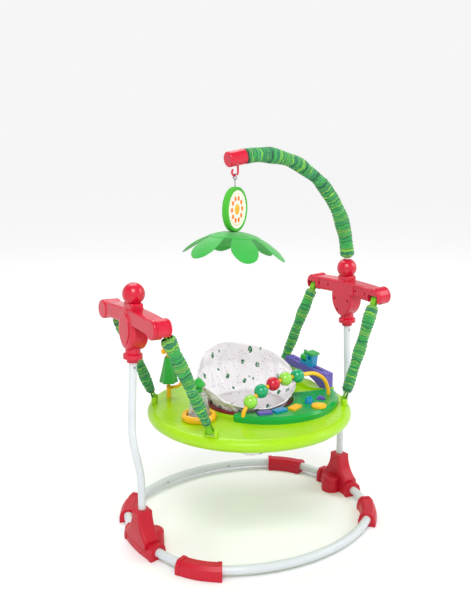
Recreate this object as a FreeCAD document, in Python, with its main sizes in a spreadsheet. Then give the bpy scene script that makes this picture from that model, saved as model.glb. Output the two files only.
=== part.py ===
import FreeCAD
import Part
import Sketcher
import math
import os
from FreeCAD import Placement, Rotation, Vector

# Baby jumper frame: a steel tube ring on the floor carries two bent posts.
# Each post ends in a moulded T-shaped housing, and four sprung straps hang a
# toy tray with a turning fabric seat between the posts.
# Millimetres, +Z up, origin on the floor at the middle of the base ring.
# +X points to the post that carries the toy arm, and -Y to the key console.

os.makedirs("parts", exist_ok=True)
doc = FreeCAD.newDocument("baby_jumper")
sheet = doc.addObject("Spreadsheet::Sheet", "sizes")
row_count = 0
nodes = []
X_AXIS = Vector(1, 0, 0)
Y_AXIS = Vector(0, 1, 0)
Z_AXIS = Vector(0, 0, 1)
ORIGIN = Vector(0, 0, 0)


def size(alias, value):
    """Put one driving size in the sheet and give it back as a number."""
    global row_count
    row_count += 1
    cell = "B" + str(row_count)
    sheet.set("A" + str(row_count), alias)
    sheet.set(cell, str(value))
    sheet.setAlias(cell, alias)
    sheet.recompute()
    return float(sheet.get(alias))


def number(expression):
    """Value of an expression over the sheet."""
    result = sheet.evalExpression(str(expression))
    return float(getattr(result, "Value", result))


def bind(thing, **expressions):
    """Tie properties of an object to expressions over the sheet."""
    for prop, expression in expressions.items():
        thing.setExpression(prop, str(expression))
    return thing


def put(thing, x="0", y="0", z="0", axis=Z_AXIS, angle=0.0):
    """Place an object by expressions, turned first about an axis."""
    thing.Placement = Placement(ORIGIN, Rotation(axis, angle))
    for letter, expression in (("x", x), ("y", y), ("z", z)):
        thing.setExpression(".Placement.Base." + letter, str(expression))
    return thing


def primitive(kind, name, **expressions):
    return bind(doc.addObject("Part::" + kind, name), **expressions)


def fuse(name, *things):
    result = doc.addObject("Part::MultiFuse", name)
    result.Shapes = list(things)
    return result


def cut(name, base, *tools):
    """Cut tools from a base; several tools are fused first."""
    tool = tools[0]
    if len(tools) > 1:
        tool = fuse(name + "_tools", *tools)
    result = doc.addObject("Part::Cut", name)
    result.Base = base
    result.Tool = tool
    return result


def common(name, *things):
    result = doc.addObject("Part::MultiCommon", name)
    result.Shapes = list(things)
    return result


def solid(name, shape):
    result = doc.addObject("Part::Feature", name)
    result.Shape = shape
    return result


def node(label, thing):
    """Name a finished sub-part and keep it for export."""
    thing.Label = label
    nodes.append(thing)
    return thing


def polygon_sketch(body, name, plane, points):
    """Closed outline in a body's origin plane, each corner bound to the sheet."""
    sketch = body.newObject("Sketcher::SketchObject", name)
    roles = {feature.Role: feature for feature in body.Origin.OriginFeatures}
    sketch.AttachmentSupport = [(roles[plane], "")]
    sketch.MapMode = "FlatFace"
    places = [Vector(number(x), number(y), 0) for x, y in points]
    count = len(points)
    for index in range(count):
        sketch.addGeometry(Part.LineSegment(places[index], places[(index + 1) % count]))
    for index in range(count):
        sketch.addConstraint(Sketcher.Constraint("Coincident", index, 2, (index + 1) % count, 1))
    for index, (x, y) in enumerate(points):
        for kind, expression in (("DistanceX", x), ("DistanceY", y)):
            at = sketch.addConstraint(
                Sketcher.Constraint(kind, -1, 1, index, 1, number(expression))
            )
            sketch.setExpression("Constraints[" + str(at) + "]", str(expression))
    return sketch


def turned(name, points, angle="360"):
    """Body of revolution about its own Z axis from (radius, height) corners."""
    body = doc.addObject("PartDesign::Body", name)
    sketch = polygon_sketch(body, name + "_outline", "XZ_Plane", points)
    doc.recompute()
    spin = body.newObject("PartDesign::Revolution", name + "_turn")
    spin.Profile = sketch
    spin.ReferenceAxis = (sketch, ["V_Axis"])
    spin.setExpression("Angle", angle)
    body.Tip = spin
    return body


def padded(name, plane, points, length, midplane=False):
    """Body padded from a polygon outline."""
    body = doc.addObject("PartDesign::Body", name)
    sketch = polygon_sketch(body, name + "_outline", plane, points)
    doc.recompute()
    pad = body.newObject("PartDesign::Pad", name + "_pad")
    pad.Profile = sketch
    pad.setExpression("Length", str(length))
    pad.Midplane = midplane
    body.Tip = pad
    return body


def round_edges(body, name, radius, wanted):
    """Fillet the edges of a body's tip that the test function picks."""
    doc.recompute()
    tip = body.Tip
    picked = ["Edge" + str(i + 1) for i, edge in enumerate(tip.Shape.Edges) if wanted(edge)]
    fillet = body.newObject("PartDesign::Fillet", name)
    fillet.Base = (tip, picked)
    fillet.setExpression("Radius", str(radius))
    body.Tip = fillet
    return body


def tube_along(path, radius, bore=0.0):
    """Round bar along a tangent path, hollow if a bore radius is given."""
    wire = Part.Wire(path)
    start = path[0].valueAt(path[0].FirstParameter)
    along = path[0].tangentAt(path[0].FirstParameter)
    outer = Part.Wire(Part.makeCircle(radius, start, along))
    shape = wire.makePipeShell([outer], True, True)
    if bore > 0:
        inner = Part.Wire(Part.makeCircle(bore, start, along))
        shape = shape.cut(wire.makePipeShell([inner], True, True))
    return shape


def arc_between(centre, radius, start, end, normal=Z_AXIS):
    """Arc edge about a centre, angles in degrees, in the XY or XZ plane."""
    def at(angle):
        turn = math.radians(angle)
        if normal == Z_AXIS:
            return centre + Vector(math.cos(turn), math.sin(turn), 0) * radius
        return centre + Vector(math.cos(turn), 0, math.sin(turn)) * radius
    return Part.Arc(at(start), at((start + end) / 2), at(end)).toShape()


# Base ring. Two bent steel tubes make one rounded loop: wide front and rear
# arcs, side arcs and four corner arcs, all tangent to each other.
ring_half_width = size("ring_half_width", 368)
ring_half_depth = size("ring_half_depth", 333)
ring_front_arc = size("ring_front_arc", 480)
ring_side_arc = size("ring_side_arc", 440)
ring_corner_arc = size("ring_corner_arc", 200)
ring_tube_radius = size("ring_tube_radius", 12.7)
ring_wall = size("ring_wall", 1.5)
ring_height = size("ring_height", 21)
ring_joint_gap = size("ring_joint_gap", 12)

front_centre = Vector(0, ring_front_arc - ring_half_depth, ring_height)
side_centre = Vector(ring_half_width - ring_side_arc, 0, ring_height)


def corner_centre():
    """Centre of the corner arc at +X, -Y, inside both arcs that it joins."""
    to_front = ring_front_arc - ring_corner_arc
    to_side = ring_side_arc - ring_corner_arc
    base = side_centre - front_centre
    span = base.Length
    along = (to_front ** 2 - to_side ** 2 + span ** 2) / (2 * span)
    off = math.sqrt(to_front ** 2 - along ** 2)
    unit = base / span
    across = Vector(-unit.y, unit.x, 0)
    first = front_centre + unit * along + across * off
    second = front_centre + unit * along - across * off
    return first if first.x > second.x else second


def heading(vector):
    return math.degrees(math.atan2(vector.y, vector.x))


corner = corner_centre()
corner_start = heading(corner - front_centre)
corner_end = heading(corner - side_centre)
gap_turn = math.degrees(ring_joint_gap / ring_side_arc)


def mirrored_x(shape):
    return shape.mirror(ORIGIN, X_AXIS)


def ring_half(inset_turn):
    """Front half of the loop, from the -X socket round to the +X socket."""
    left = mirrored_x
    right_edges = [
        arc_between(corner, ring_corner_arc, corner_start, corner_end),
        arc_between(side_centre, ring_side_arc, corner_end, -inset_turn),
    ]
    front = arc_between(front_centre, ring_front_arc, -180 - corner_start, corner_start)
    left_edges = [
        left(arc_between(side_centre, ring_side_arc, -inset_turn, corner_end)),
        left(arc_between(corner, ring_corner_arc, corner_end, corner_start)),
    ]
    return Part.__sortEdges__(left_edges + [front] + right_edges)


def half_tube(inset_turn, radius, bore):
    return tube_along(ring_half(inset_turn), radius, bore)


front_tube = half_tube(gap_turn, ring_tube_radius, ring_tube_radius - ring_wall)
node("ring_tube_front", solid("RingTubeFront", front_tube))
node("ring_tube_rear", solid("RingTubeRear", front_tube.mirror(ORIGIN, Y_AXIS)))
ring_solid = half_tube(gap_turn, ring_tube_radius, 0)
ring_core = ring_solid.fuse(ring_solid.mirror(ORIGIN, Y_AXIS))


# Floor feet. Four soft moulded sleeves with a faceted arch section grip the
# ring at its corners and keep the steel off the floor.
foot_length = size("foot_length", 122)
foot_width = size("foot_width", 50)
foot_top = size("foot_top", 42)
foot_lip = size("foot_lip", 1.5)
foot_lip_length = size("foot_lip_length", 12)


def arch_face(width, top, lip, centre, radius, turn):
    """Faceted arch section standing across an arc of the ring."""
    half = width / 2 + lip
    corners = [
        (-half, 0), (half, 0), (half, top * 0.34), (half * 0.86, top * 0.7 + lip),
        (half * 0.5, top * 0.95 + lip), (-half * 0.5, top * 0.95 + lip),
        (-half * 0.86, top * 0.7 + lip), (-half, top * 0.34),
    ]
    out = Vector(math.cos(math.radians(turn)), math.sin(math.radians(turn)), 0)
    floor = Vector(centre.x, centre.y, 0)
    points = [floor + out * (radius + u) + Z_AXIS * v for u, v in corners]
    return Part.Face(Part.makePolygon(points + points[:1]))


def arch_block(width, top, lip, centre, radius, start, sweep):
    face = arch_face(width, top, lip, centre, radius, start)
    return face.revolve(Vector(centre.x, centre.y, 0), Z_AXIS, sweep)


foot_sweep = math.degrees(foot_length / ring_corner_arc)
lip_sweep = math.degrees(foot_lip_length / ring_corner_arc)
foot_start = (corner_start + corner_end - foot_sweep) / 2


def foot_solid():
    body = arch_block(foot_width, foot_top - foot_lip, 0, corner, ring_corner_arc,
                      foot_start, foot_sweep)
    for start in (foot_start, foot_start + foot_sweep - lip_sweep):
        body = body.fuse(arch_block(foot_width, foot_top - foot_lip, foot_lip, corner,
                                    ring_corner_arc, start, lip_sweep))
    return body.removeSplitter().cut(ring_core)


foot = foot_solid()
node("foot_front_right", solid("FootFrontRight", foot))
node("foot_front_left", solid("FootFrontLeft", mirrored_x(foot)))
node("foot_rear_right", solid("FootRearRight", foot.mirror(ORIGIN, Y_AXIS)))
node("foot_rear_left", solid("FootRearLeft", mirrored_x(foot.mirror(ORIGIN, Y_AXIS))))


# Posts. One bent tube a side: straight up out of the socket, an S-bend
# outward and back, then straight up with a slight inward lean.
post_radius = size("post_radius", 11)
post_wall = size("post_wall", 1.5)
post_foot_height = size("post_foot_height", 36)
post_bend_start = size("post_bend_start", 190)
post_bend_arc = size("post_bend_arc", 300)
post_bend_run = size("post_bend_run", 54)
post_bend_angle = size("post_bend_angle", 12)
post_lean = size("post_lean", 2.45)
housing_base = size("housing_base", 561)
post_insert = size("post_insert", 100)

bend = math.radians(post_bend_angle)
lean = math.radians(post_lean)


def post_path():
    """Edges of the +X post's centre line in the XZ plane, and its last corner."""
    foot_point = Vector(ring_half_width, 0, post_foot_height)
    bend_point = Vector(ring_half_width, 0, post_bend_start)
    first = bend_point + X_AXIS * post_bend_arc
    rise = arc_between(first, post_bend_arc, 180, 180 - post_bend_angle, Y_AXIS)
    rise_end = first + Vector(-math.cos(bend), 0, math.sin(bend)) * post_bend_arc
    run_end = rise_end + Vector(math.sin(bend), 0, math.cos(bend)) * post_bend_run
    second = run_end - Vector(math.cos(bend), 0, -math.sin(bend)) * post_bend_arc
    back = arc_between(second, post_bend_arc, -post_bend_angle, post_lean, Y_AXIS)
    back_end = second + Vector(math.cos(lean), 0, math.sin(lean)) * post_bend_arc
    return foot_point, bend_point, rise, rise_end, run_end, back, back_end


foot_point, bend_point, rise, rise_end, run_end, back, back_end = post_path()
up_lean = Vector(-math.sin(lean), 0, math.cos(lean))


def post_point(height):
    """Point on the leaning upper stretch of the +X post at a height."""
    return back_end + up_lean * ((height - back_end.z) / up_lean.z)


housing_origin = post_point(housing_base)
post_end = housing_origin + up_lean * post_insert
post_edges = [
    Part.LineSegment(foot_point, bend_point).toShape(),
    rise,
    Part.LineSegment(rise_end, run_end).toShape(),
    back,
    Part.LineSegment(back_end, post_end).toShape(),
]
post = tube_along(post_edges, post_radius, post_radius - post_wall)
post_core = tube_along(post_edges, post_radius)
node("post_right", solid("PostRight", post))
node("post_left", solid("PostLeft", mirrored_x(post)))


# Leg sockets. A moulded shoe joins the two ring tubes and holds the post: an
# arch over the tubes, a flared column and a rounded pad on the inner side.
socket_half_length = size("socket_half_length", 82)
socket_width = size("socket_width", 48)
socket_arch_top = size("socket_arch_top", 46)
socket_lip = size("socket_lip", 3)
socket_lip_length = size("socket_lip_length", 13)
socket_height = size("socket_height", 123)
socket_neck_width = size("socket_neck_width", 45)
socket_shoulder_width = size("socket_shoulder_width", 118)
socket_rounding = size("socket_rounding", 9)
pad_radius = size("pad_radius", 31)
pad_height = size("pad_height", 50)
pad_offset = size("pad_offset", 34)
pad_rounding = size("pad_rounding", 10)


def socket_column():
    """Column with hollow-curved shoulders, seen along X, padded in X."""
    half = socket_neck_width / 2
    foot_half = socket_shoulder_width / 2
    low = socket_arch_top * 0.55
    shoulder = socket_arch_top * 1.05
    waist = (shoulder + socket_height) * 0.46
    outline = [
        Part.LineSegment(Vector(0, -foot_half, low), Vector(0, -foot_half, shoulder)).toShape(),
        Part.Arc(Vector(0, -foot_half, shoulder), Vector(0, -half * 1.45, waist),
                 Vector(0, -half, socket_height)).toShape(),
        Part.LineSegment(Vector(0, -half, socket_height), Vector(0, half, socket_height)).toShape(),
        Part.Arc(Vector(0, half, socket_height), Vector(0, half * 1.45, waist),
                 Vector(0, foot_half, shoulder)).toShape(),
        Part.LineSegment(Vector(0, foot_half, shoulder), Vector(0, foot_half, low)).toShape(),
        Part.LineSegment(Vector(0, foot_half, low), Vector(0, -foot_half, low)).toShape(),
    ]
    face = Part.Face(Part.Wire(outline))
    face.translate(Vector(ring_half_width - socket_width / 2, 0, 0))
    block = face.extrude(X_AXIS * socket_width)
    long_edges = [edge for edge in block.Edges
                  if abs(edge.BoundBox.XLength) < 0.01 and edge.BoundBox.ZMax > shoulder - 1
                  and edge.BoundBox.YLength > 1]
    return block.makeFillet(socket_rounding, long_edges)


def socket_solid():
    sweep = math.degrees(2 * socket_half_length / ring_side_arc)
    lip_turn = math.degrees(socket_lip_length / ring_side_arc)
    arch_height = socket_arch_top - socket_lip
    shape = arch_block(socket_width, arch_height, 0, side_centre, ring_side_arc, -sweep / 2, sweep)
    for start in (-sweep / 2, sweep / 2 - lip_turn):
        lip = arch_block(socket_width, arch_height, socket_lip, side_centre, ring_side_arc,
                         start, lip_turn)
        shape = shape.fuse(lip)
    pad = Part.makeCylinder(pad_radius, pad_height,
                            Vector(ring_half_width - pad_offset, 0, 0))
    top_edges = [edge for edge in pad.Edges if edge.BoundBox.ZMin > pad_height - 1]
    pad = pad.makeFillet(pad_rounding, top_edges)
    return shape.fuse([socket_column(), pad]).removeSplitter().cut([ring_core, post_core])


socket = socket_solid()
node("leg_socket_right", solid("LegSocketRight", socket))
node("leg_socket_left", solid("LegSocketLeft", mirrored_x(socket)))


# Snap buttons and screws. Spring buttons show through the posts below the
# collars and through the ring beside the shoes and feet.
button_radius = size("button_radius", 3.6)
button_stand = size("button_stand", 1.2)
post_button_drop = size("post_button_drop", 14)
ring_button_turn = size("ring_button_turn", 15)


def button_at(centre, outward, tube_radius):
    start = centre + outward * (tube_radius - ring_wall)
    return Part.makeCylinder(button_radius, ring_wall + button_stand, start, outward)


buttons = []
for side in (-1, 1):
    spot = post_point(housing_base - post_button_drop)
    spot = Vector(side * spot.x, 0, spot.z)
    buttons.append(button_at(spot, Vector(0, -1, 0), post_radius))
    for end in (-1, 1):
        turn = math.radians(90 - ring_button_turn * side)
        out = Vector(math.cos(turn), end * math.sin(turn), 0)
        middle = Vector(front_centre.x, -end * front_centre.y, ring_height)
        spot = middle + out * ring_front_arc
        buttons.append(button_at(spot, Vector(-out.x, -out.y, 0), ring_tube_radius))
button_holes = Part.makeCompound(buttons)
for thing in nodes:
    if thing.Label.startswith("ring_tube") or thing.Label.startswith("post_"):
        thing.Shape = thing.Shape.cut(button_holes)
node("frame_buttons", solid("FrameButtons", button_holes))


# Spring housings. Each is two moulded shells split on the post's plane: an
# oval shield round the post, an arched cross-arm and a drum at each end.
# They are drawn upright at their own origin and then leaned with the post.
shield_width = size("shield_width", 92)
shield_height = size("shield_height", 119)
shield_bottom = size("shield_bottom", 35)
shield_depth = size("shield_depth", 52)
shield_rounding = size("shield_rounding", 12)
oval_end_share = size("oval_end_share", 0.75)
plate_width = size("plate_width", 58)
plate_height = size("plate_height", 88)
plate_stand = size("plate_stand", 3)
arm_half_span = size("arm_half_span", 147)
arm_height = size("arm_height", 42)
arm_thickness = size("arm_thickness", 50)
arm_crown = size("arm_crown", 150)
arm_droop = size("arm_droop", 6)
arm_rounding = size("arm_rounding", 6)
drum_radius = size("drum_radius", 27)
drum_length = size("drum_length", 54)
drum_height = size("drum_height", 122)
drum_rounding = size("drum_rounding", 5)
drum_lip = size("drum_lip", 1.6)
panel_margin = size("panel_margin", 6)
panel_depth = size("panel_depth", 2)
screw_radius = size("screw_radius", 4)
screw_depth = size("screw_depth", 7)
strap_slot_width = size("strap_slot_width", 40)
strap_slot_depth = size("strap_slot_depth", 27)
pin_radius = size("pin_radius", 4)
pin_length = size("pin_length", 42)
pin_inset = size("pin_inset", 13)
pin_drop = size("pin_drop", 4)

collar_radius = size("collar_radius", 27)
collar_foot_radius = size("collar_foot_radius", 16.5)
collar_foot = size("collar_foot", 9)
collar_band = size("collar_band", 14)
collar_neck_radius = size("collar_neck_radius", 21)
collar_top = size("collar_top", 46)


def rim_edges(shape, x, tolerance=0.5):
    return [edge for edge in shape.Edges
            if edge.BoundBox.XLength < tolerance and abs(edge.BoundBox.XMin - x) < tolerance]


def oval_block(width, height, low, high, middle):
    """Upright oval of four tangent arcs, extruded along X."""
    half_tall = height / 2
    half_wide = width / 2
    end_arc = half_wide * oval_end_share
    reach = half_tall - end_arc
    side_arc = (reach ** 2 + half_wide ** 2 - end_arc ** 2) / (2 * (half_wide - end_arc))
    turn = math.atan2(side_arc - half_wide, reach)
    y = end_arc * math.sin(turn)
    z = reach + end_arc * math.cos(turn)
    edges = [
        Part.Arc(Vector(0, -y, z), Vector(0, 0, half_tall), Vector(0, y, z)).toShape(),
        Part.Arc(Vector(0, y, z), Vector(0, half_wide, 0), Vector(0, y, -z)).toShape(),
        Part.Arc(Vector(0, y, -z), Vector(0, 0, -half_tall), Vector(0, -y, -z)).toShape(),
        Part.Arc(Vector(0, -y, -z), Vector(0, -half_wide, 0), Vector(0, -y, z)).toShape(),
    ]
    face = Part.Face(Part.Wire(edges))
    face.translate(Vector(low, 0, middle))
    return face.extrude(X_AXIS * (high - low))


def arm_block():
    """Cross-arm seen along X: two long arcs joined at the drums."""
    low_x = -shield_depth / 2
    end_top = arm_crown - arm_droop
    edges = [
        Part.Arc(Vector(0, -arm_half_span, end_top), Vector(0, 0, arm_crown),
                 Vector(0, arm_half_span, end_top)).toShape(),
        Part.LineSegment(Vector(0, arm_half_span, end_top),
                         Vector(0, arm_half_span, end_top - arm_height)).toShape(),
        Part.Arc(Vector(0, arm_half_span, end_top - arm_height), Vector(0, 0, arm_crown - arm_height),
                 Vector(0, -arm_half_span, end_top - arm_height)).toShape(),
        Part.LineSegment(Vector(0, -arm_half_span, end_top - arm_height),
                         Vector(0, -arm_half_span, end_top)).toShape(),
    ]
    face = Part.Face(Part.Wire(edges))
    face.translate(Vector(low_x, 0, 0))
    block = face.extrude(X_AXIS * arm_thickness)
    long_edges = [edge for edge in block.Edges if edge.BoundBox.YLength > arm_half_span]
    return block.makeFillet(arm_rounding, long_edges)


def drum(side):
    start = Vector(-drum_length / 2, side * arm_half_span, drum_height)
    body = Part.makeCylinder(drum_radius, drum_length, start, X_AXIS)
    return body.makeFillet(drum_rounding, rim_edges(body, -drum_length / 2)
                           + rim_edges(body, drum_length / 2))


def drum_groove(side, x):
    outer = Part.makeCylinder(drum_radius + 1, drum_lip, Vector(x, side * arm_half_span, drum_height),
                              X_AXIS)
    inner = Part.makeCylinder(drum_radius - drum_lip, drum_lip,
                              Vector(x, side * arm_half_span, drum_height), X_AXIS)
    return outer.cut(inner)


def housing_full():
    middle = shield_bottom + shield_height / 2
    shield = oval_block(shield_width, shield_height, -shield_depth / 2, shield_depth / 2, middle)
    shield = shield.makeFillet(shield_rounding, rim_edges(shield, shield_depth / 2))
    shield = shield.makeFillet(shield_rounding / 3, rim_edges(shield, -shield_depth / 2))
    plate = oval_block(plate_width, plate_height, shield_depth / 2 - 1,
                       shield_depth / 2 + plate_stand, middle)
    plate = plate.makeFillet(plate_stand * 0.8, rim_edges(plate, shield_depth / 2 + plate_stand))
    shape = shield.fuse([plate, arm_block(), drum(-1), drum(1)]).removeSplitter()
    grooves = []
    for side in (-1, 1):
        for x in (-drum_length / 2 + drum_rounding * 1.6, drum_length / 2 - drum_rounding * 2):
            grooves.append(drum_groove(side, x))
    return shape.cut(grooves)


def pin_place(side):
    return Vector(-drum_length / 2 + pin_inset, side * arm_half_span, drum_height - pin_drop)


def housing_cuts():
    """Post and collar bores, strap slots, anchor pins and screw wells."""
    tools = [
        Part.makeCylinder(post_radius, post_insert, ORIGIN, Z_AXIS),
        Part.makeCylinder(collar_neck_radius, collar_top, ORIGIN, Z_AXIS),
    ]
    for side in (-1, 1):
        low = Vector(-drum_length / 2 - 1, side * arm_half_span - strap_slot_width / 2,
                     drum_height - drum_radius - 1)
        height = drum_radius + 1 - pin_drop + pin_radius * 2.2
        tools.append(Part.makeBox(strap_slot_depth + 1, strap_slot_width, height, low))
        place = pin_place(side)
        tools.append(Part.makeCylinder(pin_radius, pin_length,
                                       place - Y_AXIS * (pin_length / 2), Y_AXIS))
    arm_middle = arm_crown - arm_height / 2
    panel_start = shield_width / 2 + panel_margin * 2
    panel_end = arm_half_span - drum_radius - panel_margin
    for side in (-1, 1):
        panel = Part.makeBox(panel_depth, panel_end - panel_start, arm_height - 2 * panel_margin,
                             Vector(-shield_depth / 2, panel_start,
                                    arm_middle - arm_height / 2 + panel_margin - arm_droop * 0.35))
        panel = panel.makeFillet(3, [e for e in panel.Edges if e.BoundBox.XLength > panel_depth - 0.1])
        if side < 0:
            panel = panel.mirror(ORIGIN, Y_AXIS)
        tools.append(panel)
    wells = []
    for y_share in (0.75, 0.45):
        for side in (-1, 1):
            wells.append((side * arm_half_span * y_share, arm_middle - arm_droop * y_share ** 2))
    wells += [(shield_width * 0.33, arm_middle - arm_height * 0.95),
              (-shield_width * 0.33, arm_middle - arm_height * 0.95),
              (shield_width * 0.2, shield_bottom + shield_height * 0.16)]
    for y, z in wells:
        tools.append(Part.makeCylinder(screw_radius, screw_depth,
                                       Vector(-shield_depth / 2, y, z), X_AXIS))
    return tools


def half_space(low, high):
    reach = 400
    return Part.makeBox(high - low, reach, reach, Vector(low, -reach / 2, -reach / 2))


def lean_placement(side):
    """Stands a housing piece on the post; the -X side is turned half round."""
    lean_turn = Rotation(Y_AXIS, -post_lean)
    if side > 0:
        return Placement(housing_origin, lean_turn)
    turn = Rotation(Z_AXIS, 180)
    return Placement(turn.multVec(housing_origin), turn * lean_turn)


full = housing_full()
open_full = full.cut(housing_cuts())
outer_shell = open_full.common(half_space(0, shield_depth))
inner_shell = open_full.common(half_space(-shield_depth, 0))
pins = Part.makeCompound([
    Part.makeCylinder(pin_radius, pin_length, pin_place(side) - Y_AXIS * (pin_length / 2), Y_AXIS)
    for side in (-1, 1)
])
pin_shapes = []
for side, word in ((1, "right"), (-1, "left")):
    for shape, kind in ((outer_shell, "outer"), (inner_shell, "inner")):
        shell = solid("Housing" + kind + word, shape)
        shell.Placement = lean_placement(side)
        node("housing_" + kind + "_" + word, shell)
    collar = turned("Collar" + word, [
        ("sizes.post_radius", "0"),
        ("sizes.collar_foot_radius", "0"),
        ("sizes.collar_foot_radius", "sizes.collar_foot"),
        ("sizes.collar_radius", "sizes.collar_foot + 2"),
        ("sizes.collar_radius", "sizes.collar_foot + sizes.collar_band"),
        ("sizes.collar_neck_radius", "sizes.collar_foot + sizes.collar_band + 4"),
        ("sizes.collar_neck_radius", "sizes.collar_top"),
        ("sizes.post_radius", "sizes.collar_top"),
    ])
    collar.Placement = lean_placement(side)
    node("housing_collar_" + word, collar)
    placed = pins.copy()
    placed.Placement = lean_placement(side)
    pin_shapes += placed.Solids
node("strap_anchor_pins", solid("StrapAnchorPins", Part.makeCompound(pin_shapes)))


# Balls on the cross-arms. The -X ball is a plain finial; the +X ball holds
# the toy arm's tube. Both stand on a flared foot cut to the arm's curve.
ball_radius = size("ball_radius", 31)
ball_height = size("ball_height", 189)
ball_foot_radius = size("ball_foot_radius", 25)
ball_foot_depth = size("ball_foot_depth", 52)

# Toy arm. A steel tube bent to one arc, over the seat in the plane y = 0,
# under a gathered fabric sleeve, with a moulded cap and hook at its end.
toy_arc = size("toy_arc", 346)
toy_arc_start = size("toy_arc_start", -2.5)
toy_sleeve_start = size("toy_sleeve_start", 3.1)
toy_arc_end = size("toy_arc_end", 98.6)
toy_tube_radius = size("toy_tube_radius", 9.5)
toy_tube_wall = size("toy_tube_wall", 1.5)
toy_sleeve_radius = size("toy_sleeve_radius", 20)
toy_sleeve_bore = size("toy_sleeve_bore", 12)
toy_cap_radius = size("toy_cap_radius", 22.5)
toy_cap_length = size("toy_cap_length", 56)
toy_cap_rounding = size("toy_cap_rounding", 5)
toy_insert = size("toy_insert", 30)
hook_wire = size("hook_wire", 3)
hook_bend = size("hook_bend", 10)
hook_shank = size("hook_shank", 20)
hook_place = size("hook_place", 20)

ball_centre = lean_placement(1).multVec(Vector(0, 0, ball_height))
start_turn = math.radians(toy_arc_start)
toy_centre = ball_centre - Vector(math.cos(start_turn), 0, math.sin(start_turn)) * toy_arc


def toy_point(angle):
    turn = math.radians(angle)
    return toy_centre + Vector(math.cos(turn), 0, math.sin(turn)) * toy_arc


def toy_along(angle):
    turn = math.radians(angle)
    return Vector(-math.sin(turn), 0, math.cos(turn))


def toy_path(start, end):
    return [arc_between(toy_centre, toy_arc, start, end, Y_AXIS)]


cap_start = toy_point(toy_arc_end)
cap_along = toy_along(toy_arc_end)
arm_edges = toy_path(toy_arc_start, toy_arc_end)
arm_edges.append(Part.LineSegment(cap_start, cap_start + cap_along * toy_insert).toShape())
arm_tube = tube_along(arm_edges, toy_tube_radius, toy_tube_radius - toy_tube_wall)
arm_core = tube_along(arm_edges, toy_tube_radius)
node("toy_arm_tube", solid("ToyArmTube", arm_tube))
sleeve = tube_along(toy_path(toy_sleeve_start, toy_arc_end), toy_sleeve_radius, toy_sleeve_bore)
node("toy_arm_sleeve", solid("ToyArmSleeve", sleeve))


def round_block(length, depth, height, rounding):
    """Block standing on z = 0 with rounded upright edges and top."""
    block = Part.makeBox(depth, length, height, Vector(-depth / 2, -length / 2, 0))
    upright = [edge for edge in block.Edges if edge.BoundBox.ZLength > height - 0.1]
    block = block.makeFillet(rounding, upright)
    top = [edge for edge in block.Edges if edge.BoundBox.ZMin > height - 0.1]
    return block.makeFillet(rounding * 0.6, top)


def ball_solid():
    ball = Part.makeSphere(ball_radius, Vector(0, 0, ball_height))
    foot = round_block(ball_foot_radius * 2, shield_depth * 0.76, ball_foot_depth * 0.55, 8)
    foot.translate(Vector(0, 0, ball_height - ball_foot_depth))
    return ball.fuse(foot).removeSplitter().cut(full)


left_ball = solid("BallCapLeft", ball_solid())
left_ball.Placement = lean_placement(-1)
node("ball_cap_left", left_ball)
right_ball = ball_solid()
right_ball.Placement = lean_placement(1)
node("ball_socket_right", solid("BallSocketRight", right_ball.cut(arm_core)))

hook_top = cap_start + cap_along * hook_place - Z_AXIS * (toy_cap_radius - 2)
hook_bottom = hook_top - Z_AXIS * hook_shank
hook_bend_centre = hook_bottom - X_AXIS * hook_bend


def toy_cap():
    body = Part.makeCylinder(toy_cap_radius, toy_cap_length, cap_start, cap_along)
    far = cap_start + cap_along * toy_cap_length
    far_edges = [edge for edge in body.Edges if (edge.BoundBox.Center - far).Length < 1]
    body = body.makeFillet(toy_cap_rounding, far_edges)
    hook = tube_along([
        Part.LineSegment(hook_top, hook_bottom).toShape(),
        arc_between(hook_bend_centre, hook_bend, 0, -230, Y_AXIS),
    ], hook_wire)
    return body.fuse(hook).removeSplitter().cut(arm_core)


node("toy_arm_cap", solid("ToyArmCap", toy_cap()))


# Mobile. A link hangs in the hook and carries a round picture disc with a
# leaf canopy below it: a shallow dome and six drooping leaves in one piece.
link_ring = size("link_ring", 8)
link_wire = size("link_wire", 2)
link_rod = size("link_rod", 20)
link_seat = size("link_seat", 8)
link_clearance = size("link_clearance", 0.4)
disc_radius = size("disc_radius", 64)
disc_thickness = size("disc_thickness", 19)
disc_face_radius = size("disc_face_radius", 55)
disc_recess = size("disc_recess", 2.5)
disc_turn = size("disc_turn", 30)
canopy_dome_radius = size("canopy_dome_radius", 74)
canopy_dome_rise = size("canopy_dome_rise", 14)
canopy_wall = size("canopy_wall", 2.5)
leaf_reach = size("leaf_reach", 152)
leaf_width = size("leaf_width", 79)
leaf_root = size("leaf_root", 44)
leaf_drop = size("leaf_drop", 74)
leaf_count = int(size("leaf_count", 6))
leaf_turn = size("leaf_turn", 12.3)
canopy_tilt = size("canopy_tilt", 5)

hang = Vector(hook_bend_centre.x, 0, hook_bend_centre.z - hook_bend + hook_wire)
ring_centre = hang - Z_AXIS * (link_ring - link_wire - link_clearance)
rod_top = ring_centre - Z_AXIS * link_ring
link = Part.makeTorus(link_ring, link_wire, ring_centre, X_AXIS)
link_low = rod_top - Z_AXIS * (link_rod + link_seat)
link = link.fuse(Part.makeCylinder(link_wire * 0.8, link_rod + link_seat, link_low, Z_AXIS))
node("mobile_link", solid("MobileLink", link.removeSplitter()))

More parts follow.
